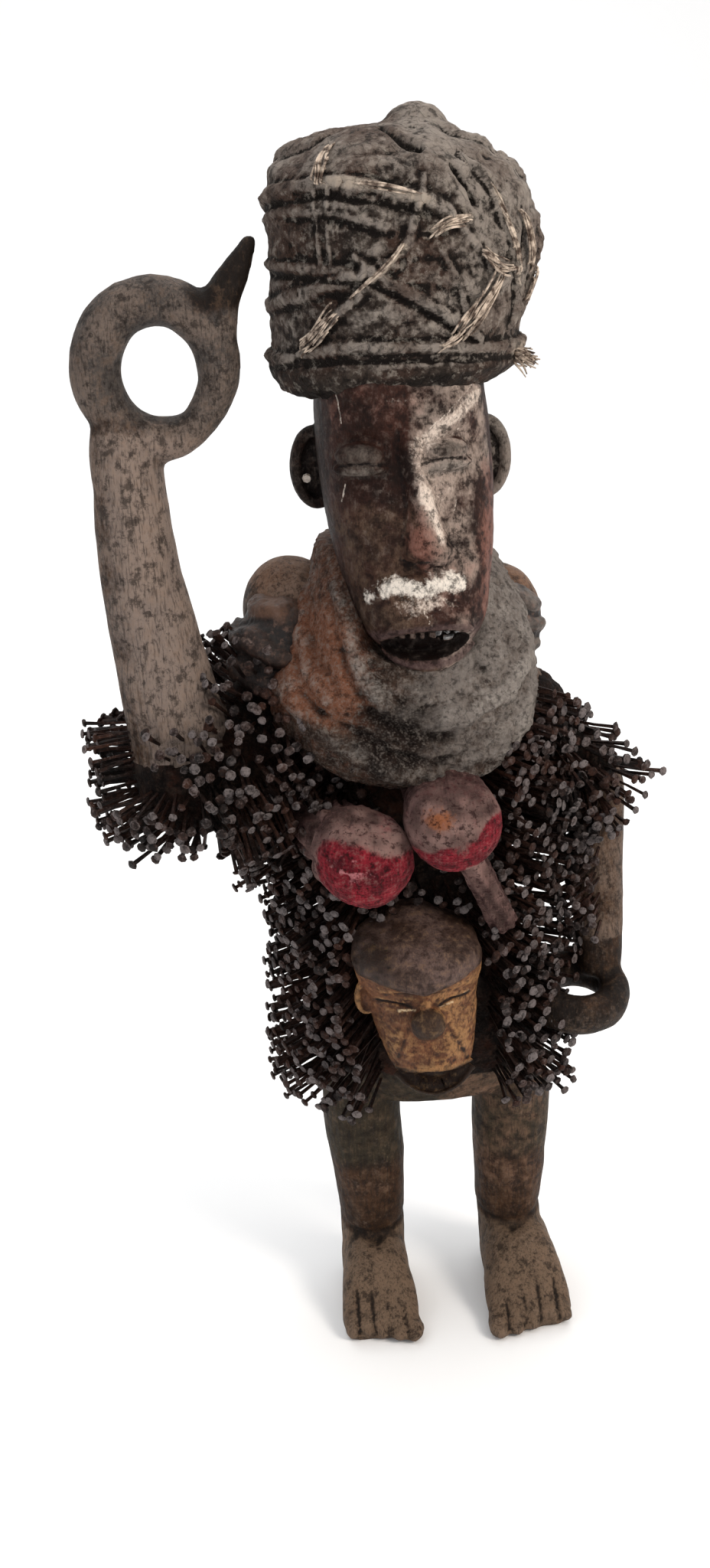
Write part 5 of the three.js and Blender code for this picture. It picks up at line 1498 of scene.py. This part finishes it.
def bundleLimb(hand):
    r, root, way = bundles["across"] / 2, np.array(bundles[hand]["root"]), unit(bundles[hand]["way"])
    return {"stations": [
        station(root + way * bundles["reach"] * share, r * wide)
        for share, wide in ((-0.1, 0.7), (0.2, 0.72), (0.45, 0.95), (0.7, 1.04), (0.9, 0.86), (1, 0.3))
    ]}


def tieBundle(name, hand):
    limb = bundleLimb(hand)
    t = np.linspace(0, 1, 120)[:, None]
    angle = fullTurn(150)
    points, out = limbSkin(limb, t, angle)
    centre = limbFrame(limb, np.array(0.72))[0]
    # pleats gathered towards the tie behind the ball, flats where the packing presses, and creases
    gathered = ramp(0.5 - t, 0, 0.25)
    depth = 1.6 * gathered * np.sin(13 * angle + 3 * lumps(points, 30, 3)) - 4.5 * hill(t - 0.33, 0.05)
    depth = depth + 1.3 * lumps(points, 19, 4 + hand, 2) + 0.5 * lumps(points, 6, 7, 2)
    crease = np.abs(lumps(points * (1, 1, 0.6), 17, 20 + hand))
    depth = depth - 1.6 * hill(crease, 0.07) + 0.7 * (1 - 2 * np.abs(lumps(points, 7, 40 + hand, 2)))
    # the top is pressed flat
    depth = depth - 6.5 * ramp(out[..., 2], 0.7, 1.0) * ramp(t, 0.4, 0.6)
    points = points + out * depth[..., None]
    forms = [tubeForm(points)]
    if hand > 0:
        # the loose end of its cloth hangs down beside it
        start = limbFrame(limb, np.array(0.68))[0]
        stop = start + np.array([0.55, 0.5, -1.4]) * bundles["across"]
        r = bundles["across"] * 0.15
        middle = between(start, stop, 0.5)
        tail = {"stations": [station(start, r * 1.2), station(middle, r), station(stop, r * 1.1)]}
        tailT, tailAngle = np.linspace(0, 1, 60)[:, None], fullTurn(50)
        tailSkin, tailOut = limbSkin(tail, tailT, tailAngle)
        ridges = np.sin(8 * tailAngle + 7 * tailT) + 1.2 * lumps(tailSkin, 9, 4, 2)
        forms.append(tubeForm(tailSkin + tailOut * ridges[..., None]))
    piece = makeMesh(name, *joinForms(forms), crimsonCotton)
    spots = readPoints(piece)
    x, y, z = (spots - centre).T
    inTail = ramp(-z, 22, 32) * (hand > 0) * (x > 4)
    patches = lumps(spots, 16, 30 + hand, 2)
    # red shows below the dust line, which each bundle has at its own slope
    if hand > 0:
        edge, sooty = -7 + 20 * ramp(x, 2, 24) - z, 0.5
        reddish = 0.5 * ramp(z, 22, 30)
    else:
        edge, sooty = 23 - 14 * ramp(x, -14, 18) - z, 0.3
        reddish = 0.5 * ramp(z, 18, 28) * ramp(x, 0, 12)
    redness = ramp(edge + 7 * patches, -3, 5) * ramp(-y, -14, 0)
    setMask(piece, "dust", (1 - redness) * (0.85 - 0.45 * reddish) + inTail + 0.2 * patches)
    # soot above the red, and painted shade on the back, towards the body
    sootAndShade = (1 - redness) * (sooty + 0.4 * lumps(spots, 9, 9))
    setMask(piece, "sootAndShade", sootAndShade + 0.3 * ramp(y, 0, 30) + 0.1 * redness)
    setMask(piece, "ochre", (1 - redness) * 0.8 * ovalPatch(x, z, (-14, 14), (12, 9)) * (hand > 0))
    fringe = ovalPatch(x, z, (-20, 6), (10, 8)) * (hand < 0)
    broken = ramp(lumps(spots * (0.3, 1, 1), 3, 61), 0.1, 0.6)
    setMask(piece, "thread", redness * (0.3 + 0.5 * fringe) * broken)
    return piece


bundleRight = tieBundle("redBundleRight", -1)
bundleLeft = tieBundle("redBundleLeft", 1)
print("hides and bundles made")


# Small head on the belly: dark cap with a pointed edge, golden face, ball nose and open teeth
bellyHead = {
    "x": -9, "y": -72, "z": 249, "height": 141, "width": 96, "voxel": 1.25,
    "half": [0.12, 0.29, 0.35, 0.39, 0.42, 0.44, 0.49, 0.5, 0.42, 0.1],
    "front": [0.5, 0.62, 0.62, 0.6, 0.58, 0.57, 0.6, 0.58, 0.4, 0.1],
    "back": [0.2, -0.05, -0.1, -0.12, -0.12, -0.12, -0.12, -0.12, -0.12, 0],
    "eyes": 0.565, "brows": 0.61,  # shares of the height
    # both ends as (mm from the middle, share of the height)
    "glints": [
        ((-31, 0.573), (-17, 0.565)), ((17, 0.565), (33, 0.58)),
        ((-20, 0.52), (-8, 0.53)), ((10, 0.535), (20, 0.54)),
    ],
}


def capEdge(x):
    # share of the height where the cap starts: it comes to a point over the nose
    return 0.612 + 0.085 * np.minimum(np.abs(x) / (bellyHead["width"] * 0.4), 1)


def bellyPoint(share, angle):
    share, angle = np.broadcast_arrays(np.asarray(share, float), np.asarray(angle, float))
    w = bellyHead["width"]
    half = smooth(bellyHead["half"], share) * w
    front, back = -smooth(bellyHead["front"], share) * w, -smooth(bellyHead["back"], share) * w
    x = np.sin(angle) * half
    y = (front + back) / 2 + np.cos(angle) * (front - back) / 2
    raised = 5 * ramp(share - capEdge(x), 0, 0.03)
    raised -= 4 * hill(np.abs(x) - w * 0.22, w * 0.16) * hill(share - 0.57, 0.04)
    facing = np.maximum(np.cos(angle), 0) ** 0.5
    lean = (0.5 - share) * w * 0.12
    height = bellyHead["z"] + share * bellyHead["height"]
    return np.stack([bellyHead["x"] + x + lean, bellyHead["y"] + y - raised * facing, height], -1)


goldenWood = adzedWood("oiledYellowHardwood", {
    "dark": "#432515", "light": "#764a2f", "pore": "#1f0f08", "fibre": "#a3805a", "pale": 0.3, "grain": 1.2,
    "grainTone": 0.4, "fibreRun": 0.4, "dirtSize": 6, "dirt": 0.65, "pitDepth": 0.9, "cutSize": 5.0,
    "cutDepth": 0.2, "roughness": (0.35, 0.6), "shine": 0.2,
    "layers": [
        ("rubbed", "#a87d50", 3, 0.26, 0.65),
        ("cap", "#36261f", 5, 0.1, 0.97),
        ("capRubbed", "#64504a", 6, 0.4, 0.75),
        ("nose", "#241710", 4, 0.24, 0.92),
        ("glint", "#e3c9a2", 2, 0.2, 0.8),
        ("tooth", "#5d4535", 2, 0.2, 0.8),
        ("dark", "#0c0503", 3, 0.22, 0.95),
    ],
})


def carveBellyHead():
    w, h, low = bellyHead["width"], bellyHead["height"], bellyHead["z"]
    forms = [tubeForm(bellyPoint(np.linspace(0, 1, 110)[:, None], faceTurn(130)))]
    noseAt = bellyPoint(0.455, 0.0)
    noseZ = noseAt[2]
    forms.append(ballForm((noseAt[0], noseAt[1] - 1, noseZ), (w * 0.135, 13, h * 0.088)))
    forms.append(limbForm({"level": True, "stations": [
        [noseAt[0], noseAt[1] + 1, noseZ, 6, 8],
        [noseAt[0] - 1, bellyPoint(0.53, 0.0)[1] + 1, noseZ + 12, 5, 5],
        [noseAt[0] - 1, bellyPoint(0.58, 0.0)[1] + 2, noseZ + 18, 4, 3.5],
    ]}, 24, 20))
    ear = bellyPoint(0.54, -math.pi * 0.44)
    forms.append(ballForm(ear + (2, 0, 0), (w * 0.08, w * 0.05, w * 0.12)))
    t = np.linspace(0.6, 5.3, 26)
    rim = ear + np.stack([-1.5 + w * 0.06 * np.cos(t), -2 + 0 * t, w * 0.12 * np.sin(t)], -1)
    forms.append(limbForm({"stations": [station(p, 2.4, 3.2) for p in rim]}, 14, 50))
    mouthZ = low + 0.11 * h
    mouthX, mouthY, _ = bellyPoint(0.11, 0.0)
    # upper and lower lip
    for rise, high, proud in ((11.5, 2.0, 2.0), (-9.5, 2.6, 4.0)):
        lip = []
        for k in (-1, -0.6, -0.2, 0.2, 0.6, 1):
            lipZ = mouthZ + rise * (1 - 0.75 * k * k) + 6 * k * k
            lip.append([mouthX + k * w * 0.3, mouthY + 4 + 11 * k * k, lipZ, high * (1 - 0.4 * k * k), proud])
        forms.append(limbForm({"side": (0, 0, 1), "stations": lip}, 24, 50))
    piece = carvedTogether("bellyHeadCarved", forms, bellyHead["voxel"], goldenWood, rounds=2)
    points, out = readPoints(piece), normalsOf(piece)
    x, y, z = points.T
    up = (z - low) / h
    middle = bellyHead["x"] + (0.5 - up) * w * 0.12
    side = x - middle
    facing = ramp(-out[:, 1], -0.1, 0.4)
    depth = 0.5 * lumps(points, 14, 3, 2)
    ragged = 1 + 0.16 * lumps(points, 8, 52)
    smile = z - mouthZ - 0.004 * side ** 2
    mouth = ramp(1 - np.hypot(side / (w * 0.28), smile / 9.5) * ragged, 0, 0.4) * facing
    depth -= 7.0 * mouth
    depth += 0.6 * (1 - 2 * np.abs(lumps(points * (1, 1, 1.6), 9, 57, 2))) * (1 - mouth)
    slits, brows = 0, 0
    eyeZ, browZ = low + h * bellyHead["eyes"], low + h * bellyHead["brows"]
    for hand in (-1, 1):
        offSide = side - hand * w * 0.235
        slit = hill(z - eyeZ + 0.012 * offSide ** 2 - 0.12 * hand * offSide, 1.3)
        slit = slit * ramp(15 - np.abs(offSide), 0, 5) * facing
        slits = np.maximum(slits, slit)
        lid = ovalPatch(offSide, z, (0, eyeZ), (13, 5.0)) * facing
        depth += 2.2 * lid - 1.8 * slit
        brow = ovalPatch(offSide, z + 0.1 * hand * offSide, (0, browZ), (16, 3)) * facing
        depth -= 0.9 * brow
        # crease from the nose down to the corner of the mouth
        crease = lineMask(side, z, (hand * 15, low + h * 0.42), (hand * 25, low + h * 0.24), 2.2) * facing
        depth -= 1.1 * crease
        brows = np.maximum(brows, 0.3 * crease + 0.5 * brow)
    points = points + out * depth[:, None]
    writePoints(piece, points)
    hollow = hollows(piece, 0.35)
    capMask = ramp(up - capEdge(side), -0.006, 0.006) * ramp(-y, 70, 80) + ramp(y, -80, -70) * (up > 0.5)
    noseMask = ovalPatch(side, z, (0, noseZ), (w * 0.145, h * 0.1)) * (points[:, 1] < noseAt[1] - 2)
    setMask(piece, "cap", 0.98 * capMask)
    setMask(piece, "capRubbed", capMask * (0.35 + 0.45 * lumps(points, 13, 5) + 0.3 * hill(side - 8, 20)))
    setMask(piece, "nose", 1.1 * ramp(noseMask, 0.3, 0.6))
    patches = lumps(points, 12, 8, 2)
    # paler towards the figure's left, on the lit side, and on rounded parts: painted light, over rubbed
    # patches
    lit = 0.3 + 0.2 * ramp(side, -20, 20) + 0.3 * patches + 0.5 * (0.5 - hollow)
    setMask(piece, "rubbed", lit * (1 - capMask))
    glint = 0
    for (a, aUp), (b, bUp) in bellyHead["glints"]:
        glint = glint + lineMask(side, z, (a, low + h * aUp), (b, low + h * bUp), 1.5)
    setMask(piece, "glint", 0.62 * glint * facing * (1 - slits))
    teeth = mouth * ramp(np.sin(side * 2 * math.pi / 6.5), -0.5, 0.2) * hill(smile - 2, 5.0)
    jaw = ramp(0.2 - up, 0, 0.04) * (1 - mouth) * facing
    setMask(piece, "tooth", 0.9 * teeth + 0.45 * jaw * (1 + lumps(points, 5, 77)))
    inside = ramp(mouth, 0.25, 0.7) * (1 - ramp(teeth, 0.4, 0.7))
    # painted shade: inside the mouth, in the eye slits, brow grooves and nose creases, over the cap's side
    # away from the light and in hollows; the jaw is dark in its own colour, with a dark band at the lips, and
    # the face darkens towards its bottom
    dark = 0.55 * jaw + 0.5 * capMask * ramp(-side, 0, 30) + 0.9 * inside + 0.8 * slits + 0.45 * brows
    dark = dark + 0.75 * ramp(0.17 - up, 0.0, 0.05) + 0.3 * hill(up - 0.22, 0.06) * facing
    setMask(piece, "dark", dark + 0.4 * ramp(hollow, 0.65, 1))
    return piece


bellyHeadCarved = carveBellyHead()
print("belly head carved", len(bellyHeadCarved.data.polygons))


# Crust of rust, resin and earth that the nails stand in
crust = {
    "thick": 4,  # mm over the wood
    # stretch along each limb
    "trunk": (0.125, 0.625), "rightUpper": (0.33, 1.0), "rightFore": (0.0, 0.29), "leftUpper": (0.33, 1.0),
}
rustCrust = driedResin("rustAndResinCrust", {
    "dark": "#0f0907", "light": "#241813", "pit": "#050303", "grit": 2.6, "gritTone": 0.2,
    "gritColour": "#4a3a31", "gritDepth": 0.9, "crumb": 3.0, "roughness": (0.65, 0.95), "shine": 0.12,
    "layers": [
        ("ochre", "#4f2a1b", 8, 0.35, 0.8),
        ("ash", "#4a423d", 7, 0.3, 0.6),
        ("dark", "#050303", 5, 0.3, 0.95),
    ],
})


def spreadCrust(name, parts, rustShare):
    forms = []
    for limb, (first, last), sides, steps in parts:
        t = np.linspace(first, last, steps)[:, None]
        points, out = limbSkin(limb, t, fullTurn(sides), crust["thick"] * 0.6)
        near, _ = grains(points, 9, 3)
        depth = 1.6 * lumps(points, 14, 5, 2) + 2.4 * (0.5 - near) + 0.8 * lumps(points, 4, 6)
        # thinner towards both ends
        depth = depth - 3 * ramp(np.abs(t - (first + last) / 2) / (last - first), 0.44, 0.5)
        forms.append(tubeForm(points + out * depth[..., None]))
    piece = makeMesh(name, *joinForms(forms), rustCrust)
    spots = readPoints(piece)
    patches = lumps(spots, 22, 12, 2)
    setMask(piece, "ochre", rustShare - 0.08 + 0.45 * patches)
    setMask(piece, "ash", 0.2 + 0.4 * lumps(spots, 15, 4))
    setMask(piece, "dark", 0.45 + 0.5 * lumps(spots, 9, 6, 2))
    return piece


trunkCrust = spreadCrust("trunkCrust", [(trunkLimb(), crust["trunk"], 190, 110)], 0.42)
rightCrust = spreadCrust("rightArmCrust", [
    (rightUpperLimb, crust["rightUpper"], 90, 60),
    (rightForearmLimb, crust["rightFore"], 90, 50),
], 0.38)
leftCrust = spreadCrust("leftArmCrust", [(leftUpperLimb, crust["leftUpper"], 80, 60)], 0.3)


# Nails: hand-forged, square shanks and hammered heads, driven in close together
nails = {
    "length": (36, 55), "shank": 1.4, "headRadius": (3.0, 4.3), "sunk": 5, "spacing": 4.0,
    "headSides": 8, "jitter": 0.13, "bend": 2.2, "lowest": 200,  # mm, but the jitter is of the way it points
    "middle": -28, "reach": 228,  # no head stands further out than this from the middle of the width
    "leftSlope": 610,  # the nails of the left arm end at a slope from the shoulder down to the elbow
    # limb, stretch along it, degrees round it, how many tries, lean, share of the length, which group
    "beds": [
        ("trunk", (0.12, 0.50), (-190, -120), 1000, (-0.3, -0.3, -0.5), 1.0, "trunk"),
        ("trunk", (0.12, 0.50), (-66, -22), 380, (0.0, -0.8, -0.3), 0.9, "trunk"),
        ("trunk", (0.42, 0.60), (-150, -40), 260, (0.0, -0.6, -0.2), 0.7, "trunk"),
        ("trunk", (0.46, 0.64), (-185, -125), 520, (-0.4, -0.3, -0.5), 0.95, "trunk"),
        ("trunk", (0.50, 0.66), (-200, -140), 340, (-0.4, -0.2, -1.3), 1.45, "trunk"),
        ("trunk", (0.30, 0.66), (-60, 0), 620, (0.7, -0.7, 0.0), 0.95, "trunk"),
        ("trunk", (0.14, 0.50), (30, 168), 420, (0.0, 0.3, -0.3), 0.9, "trunk"),
        ("rightUpper", (0.30, 1.0), (35, 145), 420, (-0.5, -0.2, -0.5), 1.0, "right"),
        ("rightUpper", (0.30, 1.0), (145, 395), 620, (-0.1, -0.3, -0.4), 0.9, "right"),
        ("rightFore", (0.02, 0.24), (80, 300), 240, (-0.1, -0.6, -0.1), 0.8, "right"),
        ("rightFore", (0.22, 0.36), (110, 205), 170, (-0.5, 0.0, 0.1), 0.62, "right"),
        ("leftUpper", (0.28, 1.0), (-180, 180), 1100, (0.5, -0.6, -0.9), 0.78, "left"),
        ("leftFore", (-0.1, 0.4), (60, 250), 520, (-0.6, -0.5, -0.5), 0.62, "left"),
        ("leftFore", (0.3, 0.66), (95, 200), 420, (-0.6, -0.4, -0.5), 0.5, "left"),
        ("trunk", (0.44, 0.70), (-60, 15), 700, (0.9, -0.8, -0.2), 1.2, "trunk"),
        ("rightUpper", (0.12, 0.8), (60, 130), 420, (-0.35, -0.3, -0.8), 1.3, "right"),
        ("trunk", (0.46, 0.72), (35, 165), 520, (0, 0.4, -0.4), 0.8, "trunk"),
    ],
    # ovals that nails keep out of: belly head, collar, both bundles, head and the left arm's opening
    "rooms": [
        ((-9, -105, 320), (54, 44, 76)), ((-4, -50, 590), (98, 66, 92)), ((-30, -120, 452), (50, 60, 38)),
        ((14, -115, 480), (40, 60, 38)), ((0, -20, 690), (72, 82, 110)), ((108, 0, 367), (15, 34, 48)),
    ],
}

# Forged iron: blackened shanks, brown rust, and heads burnished grey where hands and weather reach them
forgedIron, ironTree, ironShader = newMaterial("forgedRustedIron", {
    "Metallic": 0.3, "IOR": 1.5, "Specular IOR Level": 0.2,
})
ironPlace = stretched(ironTree, 1, 1, 1)
ironTone = mottled(ironTree, ironPlace, "#0a0606", "#211815", 7)
ironTone = layeredColour(ironTree, ironPlace, ironTone, [
    ("rust", "#45271a", 6, 0.35, 0.7),
    ("burnished", "#746c6b", 3, 0.3, 0.85),
])
ironTone, ironDirt = weathered(ironTree, ironPlace, ironTone, 3, "#0a0706", "#857c7a", 0.6, 0.2)
ironTree.links.new(ironTone, ironShader.inputs["Base Color"])
roughBump(ironTree, ironShader, [(ironDirt, 0.9)], (ironDirt, 0.45, 0.85))


def bandFaces(start, count):
    # two bands of faces between three rings of points
    faces = []
    for low in (start, start + count):
        for j in range(count):
            k = (j + 1) % count
            faces.append((low + j, low + k, low + count + k, low + count + j))
    return faces


def nailForm(root, way, length, headRadius, bend, random):
    # square shank that tapers to its point, and an uneven hammered head
    side = unit(np.cross(way, (0.3, 0.2, 0.93)))
    deep = np.cross(way, side)
    r = nails["shank"]
    rows = [(-nails["sunk"], 0.8 * r), (length * 0.5, r), (length - 1.9, r * 1.25)]
    turn = random.uniform(0, 1.5)
    corners = turn + np.array([0.785, 2.356, 3.927, 5.498])
    points = []
    for along, wide in rows:
        middle = root + way * along + bend * (along / length) ** 2
        points += [middle + (side * np.cos(c) + deep * np.sin(c)) * wide for c in corners]
    faces = bandFaces(0, 4)
    faces.append((3, 2, 1, 0))
    # the head: three uneven rings, the middle one widest, and a low point on top
    count = nails["headSides"]
    uneven = headRadius * (1 + random.uniform(-0.14, 0.14, count))
    tilt = random.uniform(-0.18, 0.18, 2)
    start = len(points)
    for along, share in ((length - 2.1, 0.85), (length - 0.9, 1.0), (length + 0.2, 0.72)):
        for angle, radius in zip(fullTurn(count), uneven):
            c, s = math.cos(angle) * radius * share, math.sin(angle) * radius * share
            points.append(root + way * (along + tilt[0] * c + tilt[1] * s) + bend + side * c + deep * s)
    points.append(root + way * (length + 0.5) + bend)
    top, upper = len(points) - 1, start + 2 * count
    faces += bandFaces(start, count)
    faces += [(upper + j, upper + (j + 1) % count, top) for j in range(count)]
    faces.append(tuple(start + j for j in reversed(range(count))))
    shine = np.zeros(len(points))
    # the rim is rubbed brighter than the middle
    rubbed = random.uniform(0.1, 0.85)
    shine[start + count:upper] = rubbed
    shine[upper:] = 0.8 * rubbed
    return np.array(points), faces, shine


def inRoom(probes, rooms):
    return any((np.linalg.norm((probes - centre) / half, axis=1) < 1).any() for centre, half in rooms)


def driveNails():
    random = np.random.default_rng(21)
    limbs = {
        "trunk": trunkLimb(), "rightUpper": rightUpperLimb, "rightFore": rightForearmLimb,
        "leftUpper": leftUpperLimb, "leftFore": leftForearmLimb,
    }
    # nails keep out of the forearms and legs too
    rooms = list(nails["rooms"])
    for limb in (rightForearmLimb, leftForearmLimb, legLimb(-1), legLimb(1)):
        for t in np.linspace(0.15, 0.95, 9):
            centre, _, _, wide, thick = limbFrame(limb, np.array(t))
            rooms.append((centre, (wide + 1, thick + 1, 18)))
    made = {"trunk": [], "right": [], "left": []}
    roots = []
    for limbName, along, degrees, tries, lean, share, group in nails["beds"]:
        for _ in range(tries):
            t = random.uniform(*along)
            angle = math.radians(random.uniform(*degrees))
            point, out = limbSkin(limbs[limbName], t, angle, crust["thick"] * 0.4)
            way = unit(out + np.array(lean) * 0.5 + random.uniform(-nails["jitter"], nails["jitter"], 3))
            length = random.uniform(*nails["length"]) * share
            if roots and np.min(np.linalg.norm(np.array(roots) - point, axis=1)) < nails["spacing"]:
                continue
            # places along the shank, up to the head; a forearm's own room reaches over the first
            probes = point + way * length * np.array([[0.3], [0.55], [0.8], [1.0]])
            if inRoom(probes[1:] if limbName in ("rightFore", "leftFore") else probes, rooms):
                continue
            if probes[:, 2].min() < nails["lowest"] or abs(probes[-1][0] - nails["middle"]) > nails["reach"]:
                continue
            if probes[-1][0] > 60 and probes[-1] @ (0.83, 0.38, 1) > nails["leftSlope"]:
                continue
            roots.append(point)
            bend = random.uniform(-nails["bend"], nails["bend"], 3)
            headRadius = random.uniform(*nails["headRadius"])
            made[group].append(nailForm(point, way, length, headRadius, bend, random))
    pieces = {}
    for group, forms in made.items():
        joined = joinForms([form[:2] for form in forms])
        piece = makeMesh(group + "Nails", *joined, forgedIron, smoothShade=False)
        spots = readPoints(piece)
        setMask(piece, "burnished", np.concatenate([form[2] for form in forms]))
        setMask(piece, "rust", 0.45 + 0.5 * lumps(spots, 18, 4, 2))
        pieces[group] = piece
        print(group, "nails driven", len(forms))
    return pieces


drivenNails = driveNails()


# Ear stud: bone turned and polished, ivory with a faint grain
turnedBone, boneTree, boneShader = newMaterial("polishedBone", {
    "IOR": 1.55, "Roughness": 0.35, "Subsurface Weight": 0.1, "Subsurface Radius": (0.003, 0.002, 0.001),
})
bonePlace = stretched(boneTree, 1, 0.2, 1)
boneTree.links.new(mottled(boneTree, bonePlace, "#a7988c", "#ddd2c6", 3), boneShader.inputs["Base Color"])
boneGrain = addNode(boneTree, "TexNoise", {"Vector": bonePlace, "Scale": 1000 / 0.7, "Detail": 2.0})
boneBump = addNode(boneTree, "Bump", {"Height": boneGrain.outputs["Fac"], "Distance": 0.0002})
boneTree.links.new(boneBump.outputs[0], boneShader.inputs["Normal"])
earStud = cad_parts["ear_stud"]
earStud.material_slots[0].material = turnedBone

for piece, node, slot in (
    (carvedBody, "carved_figure", "carved_wood"),
    (carvedHead, "carved_figure", "carved_wood"),
    (boundTurban, "turban", "bound_cord_and_resin"),
    (turbanStrands, "turban", "bound_cord_and_resin"),
    (resinCollar, "resin_collar", "resin_and_hide"),
    (hideRight, "shoulder_hide_right", "resin_and_hide"),
    (hideLeft, "shoulder_hide_left", "resin_and_hide"),
    (bundleRight, "red_bundle_right", "red_cloth"),
    (bundleLeft, "red_bundle_left", "red_cloth"),
    (bellyHeadCarved, "belly_head", "small_head_wood"),
    (trunkCrust, "trunk_nails", "wrought_iron"),
    (rightCrust, "right_arm_nails", "wrought_iron"),
    (leftCrust, "left_arm_nails", "wrought_iron"),
    (drivenNails["trunk"], "trunk_nails", "wrought_iron"),
    (drivenNails["right"], "right_arm_nails", "wrought_iron"),
    (drivenNails["left"], "left_arm_nails", "wrought_iron"),
):
    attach(piece, "root")
    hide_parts(node)
